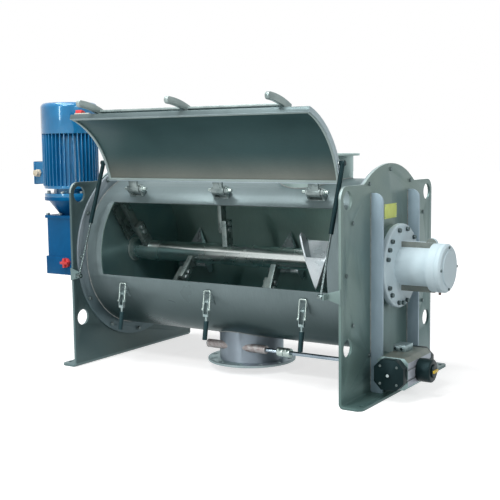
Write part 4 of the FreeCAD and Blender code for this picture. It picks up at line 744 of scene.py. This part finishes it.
front = (0, -1, 0)
adjuster_place = (actuator_middle, cap_end - adjusting_screw_reach, flap_shaft_z)
cap_screws = [set_at(socket_head(0.0070, 0.0020), adjuster_place, front)]
for x in (-cap_screw_x, cap_screw_x):
    for z in (-cap_screw_z, cap_screw_z):
        screw_place = (actuator_middle + x, cap_end, flap_shaft_z + z)
        cap_screws.append(set_at(socket_head(0.0055, 0.0035), screw_place, front))
cap_heads = placed("actuator_cap_screws", joined("actuator_cap_screws", cap_screws), bolt_steel,
                   "frame")
refinish(cap_heads, screw_grey, lambda at, normal: abs(at.x - actuator_middle) > cap_screw_x / 2)

# Switch box. A round black plastic housing on the actuator's outer face, with its dial
# turned by the flap's shaft to show whether the outlet is open.
dial_bar_start = 1.0425
restyled("switch_box", black_plastic, "frame", edge=0.0018)
dial_yellow = surface("dial_yellow", dark=(0.60, 0.42, 0.02), light=(0.72, 0.52, 0.04),
                      roughness=0.35, metallic=0.0, tint=(1, 1, 1))
dial = restyled("position_indicator", black_plastic, "flap", edge=0.0008)
refinish(dial, dial_yellow, lambda at, normal: at.x > dial_bar_start)

# Name plate. A plain yellow sheet of aluminium on the right end plate, between the ribs,
# held by a small domed rivet at each corner.
rivet_y = 0.058
rivet_heights = (0.787, 0.839)
sheet_face = plate_face + 0.002
yellow_sheet = surface("yellow_sheet", dark=(0.63, 0.72, 0.17), light=(0.73, 0.83, 0.25),
                       roughness=0.5, metallic=0.0, clouds=20.0)
restyled("rating_plate", yellow_sheet, "frame", edge=0.0003)
rivets = []
for y in (-rivet_y, rivet_y):
    for z in rivet_heights:
        rivet_rings = [ring_of(0.0030, 0), ring_of(0.0028, 0.0008), ring_of(0.0016, 0.0014)]
        rivets.append(set_at(skin("rivet", rivet_rings), (sheet_face, y, z), (1, 0, 0)))
placed("plate_rivets", joined("plate_rivets", rivets), bolt_steel, "frame")

# Door. A curved stainless lid with a welded rim all round and a silicone seal inside it,
# hung from three hinges above the opening; it stands open.
hinge_y = -0.2621
hinge_z = 0.9074
door_swing = 122.9
rim_end = 0.6
rim_edge_reach = 0.3995
door_turn = Matrix.Rotation(math.radians(door_swing), 3, "X")
hinge_line = Vector((0, hinge_y, hinge_z))
drum_line = Vector((0, 0, axis_height))


def shut_radius(point):
    """Distance from the drum's axis that a point of the open door has when it is shut."""
    shut = door_turn @ (Vector(point) - hinge_line) + hinge_line - drum_line
    return math.hypot(shut.y, shut.z)


# The door sheet is darker and bluer towards the top of the open door and lighter at its lower edge,
# as painted shade and light.
door_sheet_painted_shade = surface("door_sheet_painted_shade", dark=(0.105, 0.125, 0.117), light=(0.150, 0.170, 0.158),
                     roughness=0.42, metallic=0.15, gloss=0.2, stretch=(0.1, 1, 1), grain=420.0,
                     clouds=2.4, spread=0.07, bump=0.15,
                     low=(0.93, 1.10, (1.32, 1.22, 1.15), (0.28, 0.52, 0.58)))
rim_steel = surface("rim_steel", dark=(0.085, 0.118, 0.122), light=(0.13, 0.17, 0.175),
                    roughness=0.35, metallic=0.30, grain=420.0, clouds=5.0)
rim_edge_highlight = surface("rim_edge_highlight", dark=(0.30, 0.38, 0.41), light=(0.40, 0.48, 0.51),
                         roughness=0.35, metallic=0.3, grain=420.0, clouds=5.0)
silicone = surface("silicone", dark=(0.30, 0.38, 0.37), light=(0.38, 0.47, 0.46), roughness=0.6,
                   metallic=0.0, grain=200.0)
restyled("door_panel", door_sheet_painted_shade, "door", edge=0.0006)
rim = restyled("door_rim", rim_steel, "door", edge=0.0012)
# The rim's right end face takes the brighter ring steel as painted light, and its inner edge a
# lighter steel as a painted highlight.
refinish(rim, ring_steel_painted_light_shade, lambda at, normal: normal.x > 0.8 and at.x > rim_end)
refinish(rim, rim_edge_highlight, lambda at, normal: shut_radius(at) < rim_edge_reach)
restyled("door_seal", silicone, "door", edge=0.0008)

# Hinges. Turned barrels on straps of the door run between two lugs on the drum, on long
# pins with a bright turned washer outside each lug.
hinge_places = (-0.520, 0.0, 0.520)
washer_offset = 0.0432
hinge_steel = surface("hinge_steel", dark=(0.13, 0.17, 0.17), light=(0.25, 0.30, 0.295),
                      roughness=0.30, metallic=0.5, grain=400.0, clouds=24.0)
bright = surface("bright_turned_steel", dark=(0.46, 0.52, 0.52), light=(0.66, 0.72, 0.72),
                 roughness=0.24, metallic=0.85, stretch=(6, 1, 1), grain=260.0, clouds=12.0,
                 spread=0.08, bump=0.15)
restyled("door_knuckles", hinge_steel, "door", edge=0.0014)
restyled("hinge_lugs", hinge_steel, "frame", edge=0.0014)
restyled("hinge_pins", coupling_steel, "frame", edge=0.0016)


def turned_ring(inner, outer, height):
    """Flat turned ring with bevelled edges."""
    bevel = min(height, outer - inner) * 0.2
    rings = [ring_of(inner, 0), ring_of(outer, 0), ring_of(outer, height - bevel),
             ring_of(outer - bevel, height), ring_of(inner + bevel, height),
             ring_of(inner, height - bevel)]
    return skin("turned ring", rings, looped=True)


washers = []
for x in hinge_places:
    for side in (-1, 1):
        washer_place = (x + side * washer_offset, hinge_y, hinge_z)
        washers.append(set_at(turned_ring(0.0084, 0.0175, 0.0025), washer_place, (side, 0, 0)))
placed("hinge_washers", joined("hinge_washers", washers), bright, "frame")

# Keeper. Three curved arms over the door's free edge, joined by a flat bar, on which the
# latch bows pull. The bright studs at the door's ends carry the gas struts.
keeper_steel = surface("keeper_steel", dark=(0.20, 0.25, 0.245), light=(0.31, 0.37, 0.36),
                       roughness=0.32, metallic=0.45, grain=420.0, clouds=16.0)
restyled("keeper_arms", keeper_steel, "door", edge=0.0018)
restyled("strut_studs", bright, "door", edge=0.0005)

# Interlock. The door's half of the safety switch: a red coded block screwed to a beige
# grey bracket at the free corner of the door.
block_start = 0.4285
red_plastic = surface("red_plastic", dark=(0.50, 0.03, 0.035), light=(0.64, 0.06, 0.06),
                      roughness=0.4, metallic=0.0)
beige_grey = surface("beige_grey", dark=(0.36, 0.38, 0.34), light=(0.46, 0.48, 0.43),
                     roughness=0.45, metallic=0.2, grain=400.0, clouds=12.0)
switch_half = restyled("interlock_actuator", beige_grey, "door", edge=0.0008)
refinish(switch_half, red_plastic, lambda at, normal: shut_radius(at) > block_start)

# Gas struts. A thin rod from the bracket on each end plate into a black tube whose
# socket takes the stud on the door.
strut_black = surface("strut_black", dark=(0.005, 0.016, 0.018), light=(0.011, 0.028, 0.031),
                      roughness=0.34, metallic=0.0, grain=600.0, gloss=0.16, tint=(0.55, 0.9, 1.0))
rod_steel = surface("dark_rod_steel", dark=(0.09, 0.12, 0.12), light=(0.15, 0.19, 0.19),
                    roughness=0.18, metallic=0.9, grain=600.0)
restyled("strut_brackets", blasted, "frame", edge=0.0010)
for side in ("left", "right"):
    restyled(f"{side}_strut_rod", rod_steel, f"{side}_rod", edge=0.0004)
    restyled(f"{side}_strut_cylinder", strut_black, f"{side}_cylinder", edge=0.0006)

# Latches. Over-centre toggle latches below the opening, each with a base welded to the
# drum, a forked lever with a black rubber sleeve and a wire bow that hooks over the keeper.
grip_top = 0.2955
foot_reach = 0.400
grip_black = surface("grip_rubber", dark=(0.006, 0.017, 0.020), light=(0.013, 0.032, 0.036),
                     roughness=0.42, metallic=0.0, grain=900.0, clouds=20.0, spread=0.2, bump=0.25,
                     gloss=0.3, tint=(0.55, 0.9, 1.0))
latch_steel = surface("latch_steel", dark=(0.20, 0.27, 0.275), light=(0.36, 0.44, 0.44),
                      roughness=0.3, metallic=0.55, stretch=(1, 1, 4), grain=300.0, clouds=30.0,
                      spread=0.1, bump=0.12)
bases = restyled("latch_bases", latch_steel, "frame", edge=0.0006)
# The feet of the bases take the shell's finish with its painted shade.
refinish(bases, brushed, lambda at, normal: from_axis(at) < foot_reach)
for number in (1, 2, 3):
    lever = restyled(f"latch_lever_{number}", latch_steel, f"latch_{number}", edge=0.0010)
    refinish(lever, grip_black, lambda at, normal: at.z < grip_top)
    restyled(f"latch_bow_{number}", coupling_steel, f"bow_{number}", edge=0.0002)

# Mixing shaft. A stainless shaft with flat arm stubs welded on, polished between the end
# plates and plain turned outside them.
shaft_outer = 0.0545
polished = surface("polished_shaft", dark=(0.62, 0.68, 0.67), light=(0.74, 0.80, 0.78),
                   roughness=0.26, metallic=1.0, stretch=(4, 1, 1), grain=180.0, clouds=7.0,
                   spread=0.05, bump=0.06)
arm_steel = surface("arm_steel", dark=(0.10, 0.145, 0.145), light=(0.24, 0.29, 0.275),
                    roughness=0.28, metallic=0.55, grain=350.0, clouds=14.0)
shaft = restyled("mixing_shaft", polished, "rotor", edge=0.001)
refinish(shaft, arm_steel,
         lambda at, normal: from_axis(at) > shaft_outer or abs(at.x) > plate_middle)

# Ploughs. Pointed shovels welded from ground wear plate, each on a flat holder that is
# bolted to its stub with two through bolts; end arms carry bars that wipe the end walls.
plough_steel = surface("plough_steel", dark=(0.30, 0.36, 0.38), light=(0.48, 0.52, 0.54),
                       roughness=0.28, metallic=0.55, stretch=(1, 5, 1), grain=120.0, clouds=11.0,
                       spread=0.12, bump=0.2)
restyled("plough_holders", arm_steel, "rotor", edge=0.0012)
restyled("ploughs", plough_steel, "rotor", edge=0.0010)
restyled("end_scrapers", arm_steel, "rotor", edge=0.0010)
restyled("arm_bolts", bolt_steel, "rotor", edge=0.0010)

# Shaft seals and bearings. Turned housings on the outside of both plates, round packings
# of silicone with a bright lip that keep the dust inside, and the rings the shaft runs in.
seal_lip_radius = 0.0640
restyled("seal_housings", blasted, "frame", edge=0.001)
seals = restyled("shaft_seals", silicone, "frame", edge=0.0005)
refinish(seals, bright,
         lambda at, normal: from_axis(at) > seal_lip_radius and abs(at.x) < plate_inside)
restyled("shaft_bearings", bright, "frame", edge=0.0005)

# Outboard bearings. Cast housings painted white with a tinge of blue, with painted shade on
# the webs between flange and head; the right one is closed by a cap and has a drain screw below.
flange_face = 0.826
head_start = 0.981
drain_start = 0.98
drain_drop = 0.1102
tube_reach = 0.0885 * 0.98
white_paint = surface("white_paint", dark=(0.49, 0.61, 0.66), light=(0.56, 0.68, 0.73),
                      roughness=0.50, metallic=0.0, grain=500.0, clouds=6.0, spread=0.03, bump=0.1,
                      gloss=0.25)
web_painted_shade = surface("web_painted_shade", dark=(0.13, 0.15, 0.138), light=(0.20, 0.225, 0.205),
                    roughness=0.5, metallic=0.0, grain=500.0, clouds=20.0)
rust_brown = surface("rust_brown", dark=(0.10, 0.05, 0.04), light=(0.20, 0.12, 0.10), roughness=0.5,
                     metallic=0.2, grain=600.0, clouds=60.0)
housing = restyled("right_bearing_housing", white_paint, "frame", edge=0.0014)
# The webs' front and back faces between flange and head get a dark colour as painted shade.
refinish(housing, web_painted_shade,
         lambda at, normal: abs(normal.y) > square_on and flange_face < at.x < head_start
         and abs(at.z - axis_height) > tube_reach)
refinish(housing, rust_brown,
         lambda at, normal: at.x > drain_start and at.z < axis_height - drain_drop)
restyled("right_bearing_cap", white_paint, "frame", edge=0.0014)
restyled("left_bearing_housing", white_paint, "frame", edge=0.0014)

# Housing and gear bolts. Dark socket screws in both bearing flanges, four smaller ones in
# the cap, and hexagon bolts round the gear's top plate and the motor flange.
flange_circle = 0.171
flange_pitch = 15.0
flange_steps = (1, 2, 3, 5, 7, 9, 10, 11, 13, 14, 15, 17, 18, 19, 21, 22)
screw_top = flange_face + 0.0122
flange_screw_reach = 0.9
cap_face = 1.049
cap_circle = 0.0945
dark_steel = surface("dark_screw_steel", dark=(0.055, 0.075, 0.078), light=(0.10, 0.13, 0.135),
                     roughness=0.32, metallic=0.7, grain=800.0, clouds=40.0)
drive_bolts = restyled("drive_bolts", bolt_steel, "frame", edge=0.0008)
refinish(drive_bolts, dark_steel, lambda at, normal: abs(at.x) < flange_screw_reach)
rims = []
for side in (-1, 1):
    for step in flange_steps:
        screw_place = drum_point(side * screw_top, flange_circle, step * flange_pitch)
        rims.append(set_at(turned_ring(0.0045, 0.0096, 0.0012), screw_place, (side, 0, 0)))
placed("housing_screw_rims", joined("housing_screw_rims", rims), dark_steel, "frame")
heads = []
for k in range(4):
    a = math.radians(90 * k)
    screw_place = (cap_face - 0.0005, cap_circle * math.cos(a),
                   axis_height + cap_circle * math.sin(a))
    heads.append(set_at(socket_head(0.0065, 0.0048), screw_place, (1, 0, 0)))
placed("cap_screws", joined("cap_screws", heads), dark_steel, "frame")

# Gear unit and motor. An upright geared motor in blue enamel behind the left end plate:
# gear case, cone adapter, finned motor, fan cowl and a terminal box on its outer side.
gear_blue = surface("gear_blue", dark=(0.002, 0.055, 0.160), light=(0.004, 0.085, 0.225),
                    roughness=0.34, metallic=0.0, grain=350.0, clouds=6.0, spread=0.06, bump=0.2,
                    gloss=0.4, tint=(0.0, 0.5, 0.9))
motor_blue = surface("motor_blue", dark=(0.004, 0.110, 0.26), light=(0.008, 0.160, 0.36),
                     roughness=0.22, metallic=0.0, grain=350.0, clouds=6.0, spread=0.06, bump=0.12,
                     coat=0.7, gloss=0.6, tint=(0.3, 0.75, 1.0))
beige_plastic = surface("beige_plastic", dark=(0.52, 0.46, 0.34), light=(0.62, 0.55, 0.43),
                        roughness=0.5, metallic=0.0)
for node in ("gear_housing", "motor_adapter"):
    restyled(node, gear_blue, "frame", edge=0.0014)
for node in ("fan_cowl", "terminal_box"):
    restyled(node, motor_blue, "frame", edge=0.0014)
restyled("motor_housing", motor_blue, "frame", edge=0.0008)
restyled("motor_rotor", bolt_steel, "motor_spindle", edge=0.0006)
restyled("cable_gland", beige_plastic, "frame", edge=0.0008)
restyled("transport_plug", red_plastic, "frame", edge=0.0010)
